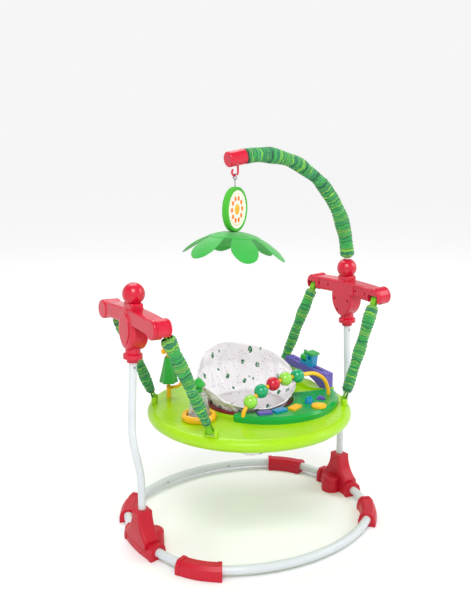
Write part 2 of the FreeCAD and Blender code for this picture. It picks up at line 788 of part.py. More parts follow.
disc_centre = rod_top - Z_AXIS * (link_rod + disc_radius)
disc_shape = Part.makeCylinder(disc_radius, disc_thickness, Vector(0, 0, -disc_thickness / 2))
disc_shape = disc_shape.makeFillet(3, [e for e in disc_shape.Edges if e.BoundBox.ZLength < 0.1])
for low in (disc_thickness / 2 - disc_recess, -disc_thickness / 2):
    disc_shape = disc_shape.cut(Part.makeCylinder(disc_face_radius, disc_recess, Vector(0, 0, low)))
disc_shape.rotate(ORIGIN, Y_AXIS, 90)
disc_shape.rotate(ORIGIN, Z_AXIS, disc_turn - 90)
disc_shape.translate(disc_centre)
link_bore = Part.makeCylinder(link_wire * 0.8 + link_clearance, link_rod + link_seat,
                              link_low - Z_AXIS * link_clearance)
node("mobile_disc", solid("MobileDisc", disc_shape.cut(link_bore)))


def leaf_face():
    """Leaf outline on the floor plane along +X: two arcs joined by straight flanks."""
    broad = leaf_width / 2
    narrow = leaf_root / 2
    root = canopy_dome_radius * 0.72
    tip = leaf_reach - broad
    lean_in = math.asin((broad - narrow) / (tip - root))
    up = Vector(-math.sin(lean_in), math.cos(lean_in), 0)
    down = Vector(up.x, -up.y, 0)
    near = Vector(root, 0, 0)
    far = Vector(tip, 0, 0)
    edges = [
        Part.LineSegment(near + up * narrow, far + up * broad).toShape(),
        Part.Arc(far + up * broad, far + X_AXIS * broad, far + down * broad).toShape(),
        Part.LineSegment(far + down * broad, near + down * narrow).toShape(),
        Part.Arc(near + down * narrow, near - X_AXIS * narrow, near + up * narrow).toShape(),
    ]
    return Part.Face(Part.Wire(edges))


def canopy_solid():
    """Revolved drooping skin trimmed to leaf outlines, under a fuller dome."""
    def skin(points, wall):
        outer = [Vector(r, 0, z) for r, z in points]
        inner = [Vector(r, 0, z - wall) for r, z in points]
        top = Part.Arc(*outer).toShape()
        low = Part.Arc(*inner).toShape()
        ends = [Part.LineSegment(outer[0], inner[0]).toShape(),
                Part.LineSegment(outer[2], inner[2]).toShape()]
        face = Part.Face(Part.Wire(Part.__sortEdges__([top, low] + ends)))
        return face.revolve(ORIGIN, Z_AXIS, 360)
    dome_edge = -canopy_dome_rise
    middle = canopy_dome_radius / 2
    dome = skin([(0, 0), (middle, dome_edge * 0.2), (canopy_dome_radius, dome_edge)], canopy_wall)
    inner_reach = canopy_dome_radius * 0.75
    mid_reach = (inner_reach + leaf_reach) / 2
    drop = leaf_drop + dome_edge
    droop = skin([(inner_reach, dome_edge * 0.7), (mid_reach, dome_edge - drop * 0.28),
                  (leaf_reach + 1, dome_edge - drop)], canopy_wall)
    outline = None
    for index in range(leaf_count):
        turn = leaf_turn + index * 360 / leaf_count
        face = leaf_face()
        face.translate(Z_AXIS * -leaf_drop * 2)
        face.rotate(ORIGIN, Z_AXIS, turn)
        prism = face.extrude(Z_AXIS * leaf_drop * 2.5)
        outline = prism if outline is None else outline.fuse(prism)
    return dome.fuse(droop.common(outline)).removeSplitter()


canopy = canopy_solid()
canopy_top = disc_centre - Z_AXIS * (disc_radius - 0.5)
canopy.rotate(ORIGIN, Y_AXIS, canopy_tilt)
canopy.translate(canopy_top)
node("mobile_canopy", solid("MobileCanopy", canopy.cut(disc_shape)))


# Tray. A blow-moulded look in two real mouldings: a hollow top shell with a
# soft rolled rim and a raised curb round the seat opening, and a base pan.
tray_rim_radius = size("tray_rim_radius", 308)
tray_top = size("tray_top", 368)
tray_bottom = size("tray_bottom", 335)
tray_wall = size("tray_wall", 3.5)
tray_rim_mid = size("tray_rim_mid", 351)
tray_opening = size("tray_opening", 121.5)
curb_height = size("curb_height", 6)
curb_width = size("curb_width", 9)
pan_thickness = size("pan_thickness", 3.5)
pan_rib_height = size("pan_rib_height", 14)


def rim_points(inset):
    """Corners of the rolled rim, from the top edge out and down to the skirt."""
    middle = "sizes.tray_rim_mid"
    corners = (
        ("18", "sizes.tray_top"),
        ("10", "sizes.tray_top - 1.8"),
        ("4", "sizes.tray_top - 6"),
        ("0.8", middle + " + 5"),
        ("0", middle),
        ("1", middle + " - 7"),
        ("5", "sizes.tray_bottom + 2"),
        ("9", "sizes.tray_bottom"),
    )
    return [("sizes.tray_rim_radius - " + back, height) for back, height in corners]


wall_in = " - sizes.tray_wall"
outer_rim = rim_points(0)
tray_profile = [
    ("sizes.tray_opening", "sizes.tray_bottom"),
    ("sizes.tray_opening", "sizes.tray_top + sizes.curb_height"),
    ("sizes.tray_opening + sizes.curb_width", "sizes.tray_top + sizes.curb_height"),
    ("sizes.tray_opening + sizes.curb_width + 4", "sizes.tray_top"),
]
tray_profile += outer_rim
tray_profile += [
    ("sizes.tray_rim_radius - 9" + wall_in, "sizes.tray_bottom"),
    ("sizes.tray_rim_radius - 4.4" + wall_in, "sizes.tray_rim_mid - 7"),
    ("sizes.tray_rim_radius" + wall_in, "sizes.tray_rim_mid"),
    ("sizes.tray_rim_radius - 1.4" + wall_in, "sizes.tray_rim_mid + 4"),
    ("sizes.tray_rim_radius - 11" + wall_in, "sizes.tray_top - 1.8" + wall_in),
    ("sizes.tray_rim_radius - 18", "sizes.tray_top" + wall_in),
    ("sizes.tray_opening" + " + sizes.tray_wall", "sizes.tray_top" + wall_in),
    ("sizes.tray_opening" + " + sizes.tray_wall", "sizes.tray_bottom"),
]
node("tray_shell", turned("TrayShell", tray_profile))

pan_low = "sizes.tray_bottom - sizes.pan_thickness"
node("tray_base", turned("TrayBase", [
    ("sizes.tray_opening", pan_low),
    ("sizes.tray_rim_radius - 12", pan_low),
    ("sizes.tray_rim_radius - 9", "sizes.tray_bottom - 1"),
    ("sizes.tray_rim_radius - 9", "sizes.tray_bottom"),
    ("sizes.tray_rim_radius - 40", "sizes.tray_bottom"),
    ("sizes.tray_rim_radius - 40", "sizes.tray_bottom + sizes.pan_rib_height"),
    ("sizes.tray_rim_radius - 43", "sizes.tray_bottom + sizes.pan_rib_height"),
    ("sizes.tray_rim_radius - 43", "sizes.tray_bottom"),
    ("sizes.tray_opening + 33", "sizes.tray_bottom"),
    ("sizes.tray_opening + 33", "sizes.tray_bottom + sizes.pan_rib_height"),
    ("sizes.tray_opening + 30", "sizes.tray_bottom + sizes.pan_rib_height"),
    ("sizes.tray_opening + 30", "sizes.tray_bottom"),
    ("sizes.tray_opening", "sizes.tray_bottom"),
]))


# Strap tabs. Four moulded lugs on the rim, each with a cross-bar that the
# strap's lower loop goes round.
tab_length = size("tab_length", 42)
tab_depth = size("tab_depth", 16)
tab_height = size("tab_height", 20)
tab_cheek = size("tab_cheek", 6)
tab_floor = size("tab_floor", 3)
tab_bar_radius = size("tab_bar_radius", 3)
tab_bar_height = size("tab_bar_height", 12)
tab_inset = size("tab_inset", 20)
tab_front_turn = size("tab_front_turn", 34.7)
tab_rear_turn = size("tab_rear_turn", 35.4)

tab_radius = tray_rim_radius - tab_inset
tab_turns = {
    "front_right": -tab_front_turn,
    "front_left": tab_front_turn - 180,
    "rear_right": tab_rear_turn,
    "rear_left": 180 - tab_rear_turn,
}


def tab_solid():
    block = round_block(tab_length, tab_depth, tab_height, 5)
    gap = tab_length - 2 * tab_cheek
    window = Part.makeBox(tab_depth * 2, gap, tab_height, Vector(-tab_depth, -gap / 2, tab_floor))
    bar = Part.makeCylinder(tab_bar_radius, gap + 2, Vector(0, -gap / 2 - 1, tab_bar_height), Y_AXIS)
    return block.cut(window).fuse(bar).removeSplitter()


def tab_bar_centre(turn):
    out = math.radians(turn)
    return Vector(math.cos(out) * tab_radius, math.sin(out) * tab_radius,
                  tray_top + tab_bar_height)


tabs = []
for turn in tab_turns.values():
    tab = tab_solid()
    tab.translate(Vector(tab_radius, 0, tray_top))
    tab.rotate(ORIGIN, Z_AXIS, turn)
    tabs.append(tab)
node("strap_tabs", solid("StrapTabs", Part.makeCompound(tabs)))


# Suspension. Each strap is webbing looped round a pin above and a tab bar
# below, with a long steel spring between, all inside a gathered sleeve.
strap_thickness = size("strap_thickness", 2.4)
strap_width = size("strap_width", 20)
strap_loop_clearance = size("strap_loop_clearance", 0.3)
sleeve_top_gap = size("sleeve_top_gap", 20)
sleeve_low_gap = size("sleeve_low_gap", 28)
sleeve_top_radius = size("sleeve_top_radius", 19)
sleeve_low_radius = size("sleeve_low_radius", 14)
sleeve_gather = size("sleeve_gather", 1.2)
sleeve_bore = size("sleeve_bore", 10.5)
sleeve_end_wall = size("sleeve_end_wall", 5)
sleeve_rings = int(size("sleeve_rings", 16))
spring_radius = size("spring_radius", 9)
spring_end_gap = size("spring_end_gap", 24)


def strap_loop(centre, axis, inner, width):
    outer = Part.makeCylinder(inner + strap_thickness, width, centre - axis * (width / 2), axis)
    return outer.cut(Part.makeCylinder(inner, width, centre - axis * (width / 2), axis))


def strap_run(start, end, width_axis):
    """Flat webbing between two points, its width along a level axis."""
    along = (end - start).normalize()
    side = width_axis * (strap_width / 2)
    thin = along.cross(width_axis).normalize() * (strap_thickness / 2)
    corners = [start + side + thin, start - side + thin, start - side - thin, start + side - thin]
    face = Part.Face(Part.makePolygon(corners + corners[:1]))
    return face.extrude(end - start)


def sleeve_solid(start, end):
    """Gathered sleeve: rings that swell and pinch along the strap."""
    along = (end - start).normalize()
    length = (end - start).Length
    rings = []
    for index in range(sleeve_rings + 1):
        share = index / sleeve_rings
        swell = sleeve_low_radius + (sleeve_top_radius - sleeve_low_radius) * (
            math.sin(math.pi * min(1.0, 0.15 + share * 0.72)) if share > 0.35
            else share * 1.6)
        pinch = sleeve_gather * (1 if index % 2 else -1)
        centre = start + along * (length * share)
        rings.append(Part.Wire(Part.makeCircle(swell + pinch, centre, along)))
    skin = Part.makeLoft(rings, True, True)
    return skin.cut(Part.makeCylinder(sleeve_bore, length - 2 * sleeve_end_wall,
                                      start + along * sleeve_end_wall, along))


springs = []
for word, turn in tab_turns.items():
    side = 1 if "right" in word else -1
    pin_side = -1 if word.startswith("front") else 1
    upper = lean_placement(side).multVec(pin_place(pin_side * side))
    lower = tab_bar_centre(turn)
    along = (upper - lower).normalize()
    level = Vector(-math.sin(math.radians(turn)), math.cos(math.radians(turn)), 0)
    upper_in = pin_radius + strap_loop_clearance
    lower_in = tab_bar_radius + strap_loop_clearance
    low_start = lower + along * (lower_in + strap_thickness / 2)
    top_end = upper - along * (upper_in + strap_thickness / 2)
    sleeve_low = lower + along * sleeve_low_gap
    sleeve_top = upper - along * sleeve_top_gap
    cover = sleeve_solid(sleeve_low, sleeve_top)
    webbing = [
        strap_loop(upper, Y_AXIS, upper_in, strap_width),
        strap_loop(lower, level, lower_in, strap_width),
        strap_run(low_start, sleeve_low + along * 6, level),
        strap_run(sleeve_top - along * 6, top_end, Y_AXIS),
    ]
    whole = cover.fuse(webbing)
    node("spring_sleeve_" + word, solid("SpringSleeve" + word, whole))
    spring_start = sleeve_low + along * spring_end_gap
    spring_length = (sleeve_top - sleeve_low).Length - 2 * spring_end_gap
    springs.append(Part.makeCylinder(spring_radius, spring_length, spring_start, along))
node("suspension_springs", solid("SuspensionSprings", Part.makeCompound(springs)))


# Seat. A rigid ring turns in the tray's opening, and a padded fabric bucket
# hangs from it with a high back and two leg holes.
ring_flange_radius = size("ring_flange_radius", 131)
ring_flange_height = size("ring_flange_height", 6)
ring_running_gap = size("ring_running_gap", 0.6)
ring_barrel_wall = size("ring_barrel_wall", 5)
ring_barrel_drop = size("ring_barrel_drop", 12)
ring_catch = size("ring_catch", 5)
seat_heading = size("seat_heading", -12)

flange_low = "sizes.tray_top + sizes.curb_height + sizes.ring_running_gap"
flange_high = flange_low + " + sizes.ring_flange_height"
barrel_out = "sizes.tray_opening - sizes.ring_running_gap"
barrel_in = barrel_out + " - sizes.ring_barrel_wall"
catch_high = pan_low + " - sizes.ring_running_gap"
catch_low = catch_high + " - sizes.ring_catch"
node("seat_ring", turned("SeatRing", [
    (barrel_in, catch_low + " - sizes.ring_barrel_drop"),
    (barrel_in, flange_high + " - 2"),
    (barrel_in + " + 2", flange_high),
    ("sizes.ring_flange_radius - 2.5", flange_high),
    ("sizes.ring_flange_radius", flange_high + " - 3"),
    ("sizes.ring_flange_radius", flange_low),
    (barrel_out, flange_low),
    (barrel_out, catch_high),
    (barrel_out + " + sizes.ring_catch", catch_high),
    (barrel_out + " + sizes.ring_catch", catch_low + " + 2"),
    (barrel_out, catch_low + " - sizes.ring_barrel_drop"),
]))

seat_floor = size("seat_floor", 226)
seat_bowl_inset = size("seat_bowl_inset", 4)
seat_top_radius = size("seat_top_radius", 156)
seat_top_shift = size("seat_top_shift", 17)
seat_back_height = size("seat_back_height", 513)
seat_side_height = size("seat_side_height", 452)
seat_front_height = size("seat_front_height", 401)
seat_wall = size("seat_wall", 7)
leg_hole_radius = size("leg_hole_radius", 52)
leg_hole_height = size("leg_hole_height", 272)
leg_hole_spread = size("leg_hole_spread", 42)


seat_ring_bore = tray_opening - ring_running_gap - ring_barrel_wall
seat_bowl_radius = seat_ring_bore - seat_bowl_inset


def seat_bucket(inset):
    """Bowl below the ring and flared walls above it, facing -Y."""
    ring_in = seat_ring_bore - 0.3
    bottom = seat_floor + inset
    levels = [
        (bottom, seat_bowl_radius * 0.52, 0),
        (bottom + 14, seat_bowl_radius * 0.8, 0),
        (bottom + 44, seat_bowl_radius * 0.97, 0),
        (tray_bottom - 22, seat_bowl_radius + 1, 0),
        (tray_top, ring_in, 0),
        (tray_top + curb_height + ring_flange_height, ring_in + 0.5, 0),
        ((tray_top + seat_side_height) / 2, ring_in * 0.35 + seat_top_radius * 0.65,
         seat_top_shift * 0.2),
        (seat_side_height, seat_top_radius, seat_top_shift),
        (seat_back_height + 8, seat_top_radius + 5, seat_top_shift),
    ]
    rings = [
        Part.Wire(Part.makeCircle(radius - inset, Vector(0, shift, height)))
        for height, radius, shift in levels
    ]
    return Part.makeLoft(rings, True, True)


def seat_trim():
    """Everything above the seat's rim line, drawn from the side."""
    reach = 400
    front = Vector(0, -seat_top_radius * 0.85, seat_front_height)
    middle = Vector(0, 0, (seat_front_height + seat_side_height) / 2 + 12)
    rear = Vector(0, seat_top_radius + seat_top_shift, seat_back_height)
    arc = Part.Arc(front, middle, rear).toShape()
    edges = [
        arc,
        Part.LineSegment(rear, Vector(0, reach, seat_back_height)).toShape(),
        Part.LineSegment(Vector(0, reach, seat_back_height), Vector(0, reach, reach * 2)).toShape(),
        Part.LineSegment(Vector(0, reach, reach * 2), Vector(0, -reach, reach * 2)).toShape(),
        Part.LineSegment(Vector(0, -reach, reach * 2), Vector(0, -reach, seat_front_height)).toShape(),
        Part.LineSegment(Vector(0, -reach, seat_front_height), front).toShape(),
    ]
    face = Part.Face(Part.Wire(edges))
    face.translate(Vector(-reach, 0, 0))
    return face.extrude(X_AXIS * 2 * reach)


def leg_holes():
    holes = []
    for side in (-1, 1):
        centre = Vector(side * leg_hole_spread, 0, leg_hole_height)
        out = Vector(side * 0.45, -1, -0.1).normalize()
        holes.append(Part.makeCylinder(leg_hole_radius * 0.7, seat_bowl_radius * 1.6, centre, out))
    return holes


bucket = seat_bucket(0).cut([seat_bucket(seat_wall), seat_trim()] + leg_holes())
bucket.rotate(ORIGIN, Z_AXIS, seat_heading)
seat_seam = tray_top + curb_height + ring_running_gap + ring_flange_height
seat_room = Part.makeCylinder(tray_opening * 2, seat_seam)
seat_room = seat_room.cut(Part.makeCylinder(seat_ring_bore - 0.3, seat_seam))
seat_room.translate(Z_AXIS * (tray_bottom - pan_thickness - ring_running_gap - ring_catch
                              - ring_barrel_drop - 3))
seat_room = seat_room.common(Part.makeBox(800, 800, seat_seam, Vector(-400, -400, 0)))
bucket = bucket.cut(seat_room)
below = Part.makeBox(800, 800, seat_seam, Vector(-400, -400, 0))
node("seat_bucket", solid("SeatBucket", bucket.common(below)))
node("seat_back", solid("SeatBack", bucket.cut(below)))


# Console. A crescent moulding on the front of the tray with three keys, a
# turning knob, a roller and a toothed spinner, under an arched bead bar.
console_radius = size("console_radius", 221)
console_centre_x = size("console_centre_x", 66)
console_centre_y = size("console_centre_y", 4)
console_inner_radius = size("console_inner_radius", 135)
console_height = size("console_height", 20)
console_slope = size("console_slope", 16)
console_start = size("console_start", 219)
console_sweep = size("console_sweep", 126)
console_end_rounding = size("console_end_rounding", 14)
console_top_rounding = size("console_top_rounding", 5)


def polar(radius, turn, height):
    angle = math.radians(turn)
    return Vector(math.cos(angle) * radius, math.sin(angle) * radius, height)


def console_block():
    """Crescent with rounded ends under a sloping outer edge."""
    outer = Part.makeCylinder(console_radius, 1, Vector(console_centre_x, console_centre_y, 0))
    inner = Part.makeCylinder(console_inner_radius, 1)
    sector = Part.makeCylinder(tray_rim_radius, 1, ORIGIN, Z_AXIS, console_sweep)
    sector.rotate(ORIGIN, Z_AXIS, console_start)
    slab = outer.cut(inner).common(sector)
    floor_face = [face for face in slab.Faces if face.BoundBox.ZMax < 0.01][0]
    rounded = floor_face.makeOffset2D(-console_end_rounding).makeOffset2D(console_end_rounding)
    block = rounded.extrude(Z_AXIS * console_height)
    top = [edge for edge in block.Edges if edge.BoundBox.ZMin > console_height - 0.1]
    block = block.makeFillet(console_top_rounding, top)
    block.translate(Z_AXIS * tray_top)
    slope = Part.makeCone(console_radius + console_slope, console_radius - console_slope,
                          console_height * 1.3,
                          Vector(console_centre_x, console_centre_y, tray_top))
    return block.common(slope)


console_top = tray_top + console_height
console = console_block()
console_cuts = []

key_radius = size("key_radius", 151)
key_width = size("key_width", 43)
key_depth = size("key_depth", 24)
key_stand = size("key_stand", 6)
key_well_depth = size("key_well_depth", 11)
key_clearance = size("key_clearance", 0.6)
key_travel = size("key_travel", 4)
key_pitch = size("key_pitch", 18.6)
key_first_turn = size("key_first_turn", -107)
key_rounding = size("key_rounding", 3)

key_shapes = {}
for index, colour in enumerate(("purple", "blue", "yellow")):
    turn = key_first_turn + index * key_pitch
    reach = key_radius + (14 if colour == "yellow" else 0)
    well = Part.makeBox(key_depth + 2 * key_clearance, key_width + 2 * key_clearance,
                        key_well_depth + 1,
                        Vector(-key_depth / 2 - key_clearance, -key_width / 2 - key_clearance,
                               console_top - key_well_depth))
    key_low = console_top - key_well_depth + key_travel + key_clearance
    key = round_block(key_width, key_depth, console_top + key_stand - key_low, key_rounding)
    key.translate(Vector(0, 0, key_low))
    for shape in (well, key):
        shape.translate(Vector(reach, 0, 0))
        shape.rotate(ORIGIN, Z_AXIS, turn)
    console_cuts.append(well)
    key_shapes[colour] = key

knob_reach = size("knob_reach", 184)
knob_turn = size("knob_turn", -49.5)
knob_radius = size("knob_radius", 13)
knob_stand = size("knob_stand", 13)
knob_pin_radius = size("knob_pin_radius", 5)
knob_pin_depth = size("knob_pin_depth", 14)
running_gap = size("running_gap", 0.4)
spinner_reach = size("spinner_reach", 221)
spinner_turn = size("spinner_turn", -56.6)
spinner_radius = size("spinner_radius", 22)
spinner_tooth = size("spinner_tooth", 4.5)
spinner_teeth = int(size("spinner_teeth", 12))
spinner_thickness = size("spinner_thickness", 6)
roller_reach = size("roller_reach", 217)
roller_turn = size("roller_turn", -38.5)
roller_radius = size("roller_radius", 14)
roller_width = size("roller_width", 14)
roller_stand = size("roller_stand", 10)
axle_radius = size("axle_radius", 3)

knob_place = polar(knob_reach, knob_turn, console_top)
spinner_place = polar(spinner_reach, spinner_turn, console_top)
for place in (knob_place, spinner_place):
    console_cuts.append(Part.makeCylinder(knob_pin_radius + running_gap, knob_pin_depth + running_gap,
                                          place - Z_AXIS * (knob_pin_depth + running_gap), Z_AXIS))

roller_centre = polar(roller_reach, roller_turn, console_top + roller_stand - roller_radius)
roller_axis = polar(1, roller_turn + 90, 0)


def roller_piece(radius, width, centre, axis):
    return Part.makeCylinder(radius, width, centre - axis * (width / 2), axis)


roller_well = roller_piece(roller_radius + 1, roller_width + 2, roller_centre, roller_axis)
roller_well = roller_well.common(Part.makeCylinder(tray_rim_radius, console_height + 1,
                                                   Vector(0, 0, tray_top + 0.01)))
console_cuts.append(roller_well)

# Bead bar. One bent rod with two feet in the console carries five beads
# that turn on it. Its line is an upright start, an arch and a drop.
bar_radius = size("bar_radius", 6)
bar_insert = size("bar_insert", 10)
bar_left_x = size("bar_left_x", -104)
bar_left_y = size("bar_left_y", -123)
bar_right_x = size("bar_right_x", 219)
bar_right_y = size("bar_right_y", -112)
bar_rise = size("bar_rise", 82)
bead_radius = size("bead_radius", 20.5)
bead_gap = size("bead_gap", 0.5)
bead_count = int(size("bead_count", 5))
bead_bore = size("bead_bore", 8)
bead_first = size("bead_first", 44)
bead_pitch = size("bead_pitch", 45.5)

bar_left = Vector(bar_left_x, bar_left_y, console_top)
bar_right = Vector(bar_right_x, bar_right_y, console_top)
bar_span = (bar_right - bar_left).Length
bar_level = (bar_right - bar_left).normalize()


def bar_point(share, rise_share):
    return bar_left + bar_level * (bar_span * share) + Z_AXIS * (bar_rise * rise_share)


def rounded_path(corners):
    """Straight runs joined by tangent arcs as large as the runs allow."""
    edges = []
    last = corners[0]
    for index in range(1, len(corners) - 1):
        before = corners[index] - corners[index - 1]
        after = corners[index + 1] - corners[index]
        turn = before.getAngle(after)
        setback = 0.45 * min(before.Length, after.Length)
        radius = setback / math.tan(turn / 2)
        start = corners[index] - before.normalize() * setback
        end = corners[index] + after.normalize() * setback
        inward = (after - before).normalize()
        middle = corners[index] + inward * (radius / math.cos(turn / 2) - radius)
        edges.append(Part.LineSegment(last, start).toShape())
        edges.append(Part.Arc(start, middle, end).toShape())
        last = end
    edges.append(Part.LineSegment(last, corners[-1]).toShape())
    return edges


bar_corners = [
    bar_left - Z_AXIS * bar_insert,
    bar_point(0.005, 0.12),
    bar_point(0.075, 0.42),
    bar_point(0.21, 0.78),
    bar_point(0.42, 0.98),
    bar_point(0.62, 1.0),
    bar_point(0.82, 0.97),
    bar_point(0.95, 0.62),
    bar_point(0.998, 0.15),
    bar_right - Z_AXIS * bar_insert,
]
bar_edges = rounded_path(bar_corners)
bead_bar = tube_along(bar_edges, bar_radius)
console_cuts.append(bead_bar)
node("console_shell", solid("ConsoleShell", console.cut(console_cuts)))
for colour, shape in key_shapes.items():
    node("key_" + colour, solid("Key" + colour, shape))


def knob_solid():
    low = knob_place + Z_AXIS * running_gap
    head = Part.makeCone(knob_radius, knob_radius * 0.82, knob_stand, low)
    head = head.makeFillet(2.5, [e for e in head.Edges if e.BoundBox.ZMin > low.z + knob_stand - 0.1])
    grip = Part.makeBox(knob_radius * 2, 4, 5, low + Vector(-knob_radius, -2, knob_stand - 0.5))
    grip = grip.common(Part.makeCylinder(knob_radius * 0.74, 40, low))
    pin = Part.makeCylinder(knob_pin_radius, knob_pin_depth,
                            low - Z_AXIS * knob_pin_depth)
    return head.fuse([grip, pin]).removeSplitter()


node("turn_knob", solid("TurnKnob", knob_solid()))


def spinner_solid():
    """Toothed disc: a root disc and rounded teeth in a ring round it."""
    low = running_gap
    shape = Part.makeCylinder(spinner_radius - spinner_tooth, spinner_thickness, Vector(0, 0, low))
    teeth = []
    for index in range(spinner_teeth):
        tooth = Part.makeCylinder(spinner_tooth, spinner_thickness,
                                  Vector(spinner_radius - spinner_tooth, 0, low))
        tooth.rotate(ORIGIN, Z_AXIS, index * 360 / spinner_teeth)
        teeth.append(tooth)
    hub = Part.makeCone(spinner_radius * 0.5, spinner_radius * 0.3, 4,
                        Vector(0, 0, low + spinner_thickness))
    pin = Part.makeCylinder(knob_pin_radius, knob_pin_depth, Vector(0, 0, low - knob_pin_depth))
    shape = shape.fuse(teeth + [hub, pin]).removeSplitter()
    shape.translate(spinner_place)
    return shape


node("toothed_spinner", solid("ToothedSpinner", spinner_solid()))

roller = roller_piece(roller_radius, roller_width, roller_centre, roller_axis)
roller = roller.makeFillet(1.5, [e for e in roller.Edges if e.Length > roller_radius * 5])
notches = []
for index in range(8):
    notch = Part.makeCylinder(2.2, roller_width * 2, ORIGIN - Z_AXIS * roller_width)
    notch.translate(Vector(roller_radius + 0.6, 0, 0))
    notch.rotate(ORIGIN, Z_AXIS, index * 45)
    notch.Placement = Placement(roller_centre, Rotation(Z_AXIS, roller_axis)) * notch.Placement
    notches.append(notch)
node("roller_drum", solid("RollerDrum", roller.cut(notches)))
node("bead_bar", solid("BeadBar", bead_bar))

bar_wire = Part.Wire(bar_edges)


def point_along(distance):
    """Place and heading on the bar's line at a distance from its start."""
    left = distance
    for edge in bar_wire.OrderedEdges:
        if left <= edge.Length:
            parameter = edge.getParameterByLength(left)
            return edge.valueAt(parameter), edge.tangentAt(parameter)
        left -= edge.Length
    return None


for index in range(bead_count):
    place, along = point_along(bar_insert + bead_first + index * bead_pitch)
    bead = Part.makeSphere(bead_radius, place, along)
    drill = Part.makeCylinder(bead_bore, bead_radius * 2.2, place - along * bead_radius * 1.1, along)
    node("bead_" + str(index + 1), solid("Bead" + str(index + 1), bead.cut(drill)))
    print("bead", index + 1, [round(v, 1) for v in place], [round(v, 4) for v in along])


# Bridge and train. A lime footing carries a ribbed arch bridge at the right
# of the tray, and a small engine slides along a slot in its sloping deck.
bridge_right_x = size("bridge_right_x", 249)
bridge_right_y = size("bridge_right_y", -58)
bridge_turn = size("bridge_turn", 98)
bridge_length = size("bridge_length", 178)
bridge_width = size("bridge_width", 36)
bridge_low_end = size("bridge_low_end", 61)
bridge_high_end = size("bridge_high_end", 84)
deck_thickness = size("deck_thickness", 26)
bridge_footing = size("bridge_footing", 15)
bridge_rib = size("bridge_rib", 2)
train_slot = size("train_slot", 7)
train_keel = size("train_keel", 6)

bridge_frame = Placement(Vector(bridge_right_x, bridge_right_y, tray_top),
                         Rotation(Z_AXIS, bridge_turn))


def side_face(outline, width, shift=0.0):
    """Outline of (run, height) points padded across the bridge's width."""
    points = [Vector(run, shift, height) for run, height in outline]
    face = Part.Face(Part.makePolygon(points + points[:1]))
    return face.extrude(Vector(0, -width, 0))


def deck_height(run):
    return bridge_low_end + (bridge_high_end - bridge_low_end) * run / bridge_length


def bridge_solid():
    leg = bridge_length * 0.13
    arch_top = deck_height(bridge_length * 0.5) - deck_thickness
    edges = [
        Part.LineSegment(Vector(0, 0, bridge_footing), Vector(0, 0, bridge_low_end)).toShape(),
        Part.LineSegment(Vector(0, 0, bridge_low_end),
                         Vector(bridge_length, 0, bridge_high_end)).toShape(),
        Part.LineSegment(Vector(bridge_length, 0, bridge_high_end),
                         Vector(bridge_length, 0, bridge_high_end - deck_thickness * 1.2)).toShape(),
        Part.Arc(Vector(bridge_length, 0, bridge_high_end - deck_thickness * 1.2),
                 Vector(bridge_length * 0.5, 0, arch_top + 2),
                 Vector(leg, 0, bridge_footing)).toShape(),
        Part.LineSegment(Vector(leg, 0, bridge_footing), Vector(0, 0, bridge_footing)).toShape(),
    ]
    body = Part.Face(Part.Wire(edges)).extrude(Vector(0, -bridge_width, 0))
    slope = Vector(bridge_length, 0, bridge_high_end - bridge_low_end).normalize()
    up = Vector(-slope.z, 0, slope.x)
    slot_start = Vector(0, -bridge_width / 2 - train_slot / 2, bridge_low_end) + slope * 26
    slot = Part.makeBox(bridge_length - 52, train_slot, deck_thickness * 2)
    slot.Placement = Placement(slot_start - up * deck_thickness * 1.6,
                               Rotation(Y_AXIS, -math.degrees(math.atan2(slope.z, slope.x))))
    return body.cut(slot), slope, up


bridge, deck_along, deck_up = bridge_solid()
node_bridge = solid("BridgeArch", bridge)
node_bridge.Placement = bridge_frame
node("bridge_arch", node_bridge)

base_edges = [
    Part.LineSegment(Vector(-3, 3, 0), Vector(-3, 3, bridge_footing)).toShape(),
    Part.LineSegment(Vector(-3, 3, bridge_footing),
                     Vector(bridge_length * 0.13, 3, bridge_footing)).toShape(),
    Part.Arc(Vector(bridge_length * 0.13, 3, bridge_footing),
             Vector(bridge_length * 0.34, 3, bridge_footing * 0.55),
             Vector(bridge_length * 0.55, 3, bridge_footing * 0.9)).toShape(),
    Part.LineSegment(Vector(bridge_length * 0.55, 3, bridge_footing * 0.9),
                     Vector(bridge_length * 0.86, 3, bridge_footing * 0.9)).toShape(),
    Part.LineSegment(Vector(bridge_length * 0.86, 3, bridge_footing * 0.9),
                     Vector(bridge_length * 0.86, 3, bridge_high_end - deck_thickness * 0.9)).toShape(),
    Part.LineSegment(Vector(bridge_length * 0.86, 3, bridge_high_end - deck_thickness * 0.9),
                     Vector(bridge_length, 3, bridge_high_end - deck_thickness * 0.9)).toShape(),
    Part.LineSegment(Vector(bridge_length, 3, bridge_high_end - deck_thickness * 0.9),
                     Vector(bridge_length, 3, 0)).toShape(),
    Part.LineSegment(Vector(bridge_length, 3, 0), Vector(-3, 3, 0)).toShape(),
]
footing = Part.Face(Part.Wire(base_edges)).extrude(Vector(0, -bridge_width - 6, 0))
footing_node = solid("BridgeFooting", footing.cut(bridge))
footing_node.Placement = bridge_frame
node("bridge_footing", footing_node)

train_run = size("train_run", 92)
cab_length = size("cab_length", 26)
cab_width = size("cab_width", 28)
cab_height = size("cab_height", 40)
cab_window = size("cab_window", 12)
roof_length = size("roof_length", 32)
roof_width = size("roof_width", 33)
roof_thickness = size("roof_thickness", 7)
boiler_length = size("boiler_length", 27)
boiler_radius = size("boiler_radius", 11)
chimney_radius = size("chimney_radius", 4)
chimney_height = size("chimney_height", 12)
train_gap = size("train_gap", 0.4)

deck_tilt = math.degrees(math.atan2(deck_along.z, deck_along.x))
train_origin = (Vector(0, -bridge_width / 2, bridge_low_end) + deck_along * train_run
                + deck_up * train_gap)
train_frame = bridge_frame * Placement(train_origin, Rotation(Y_AXIS, -deck_tilt))


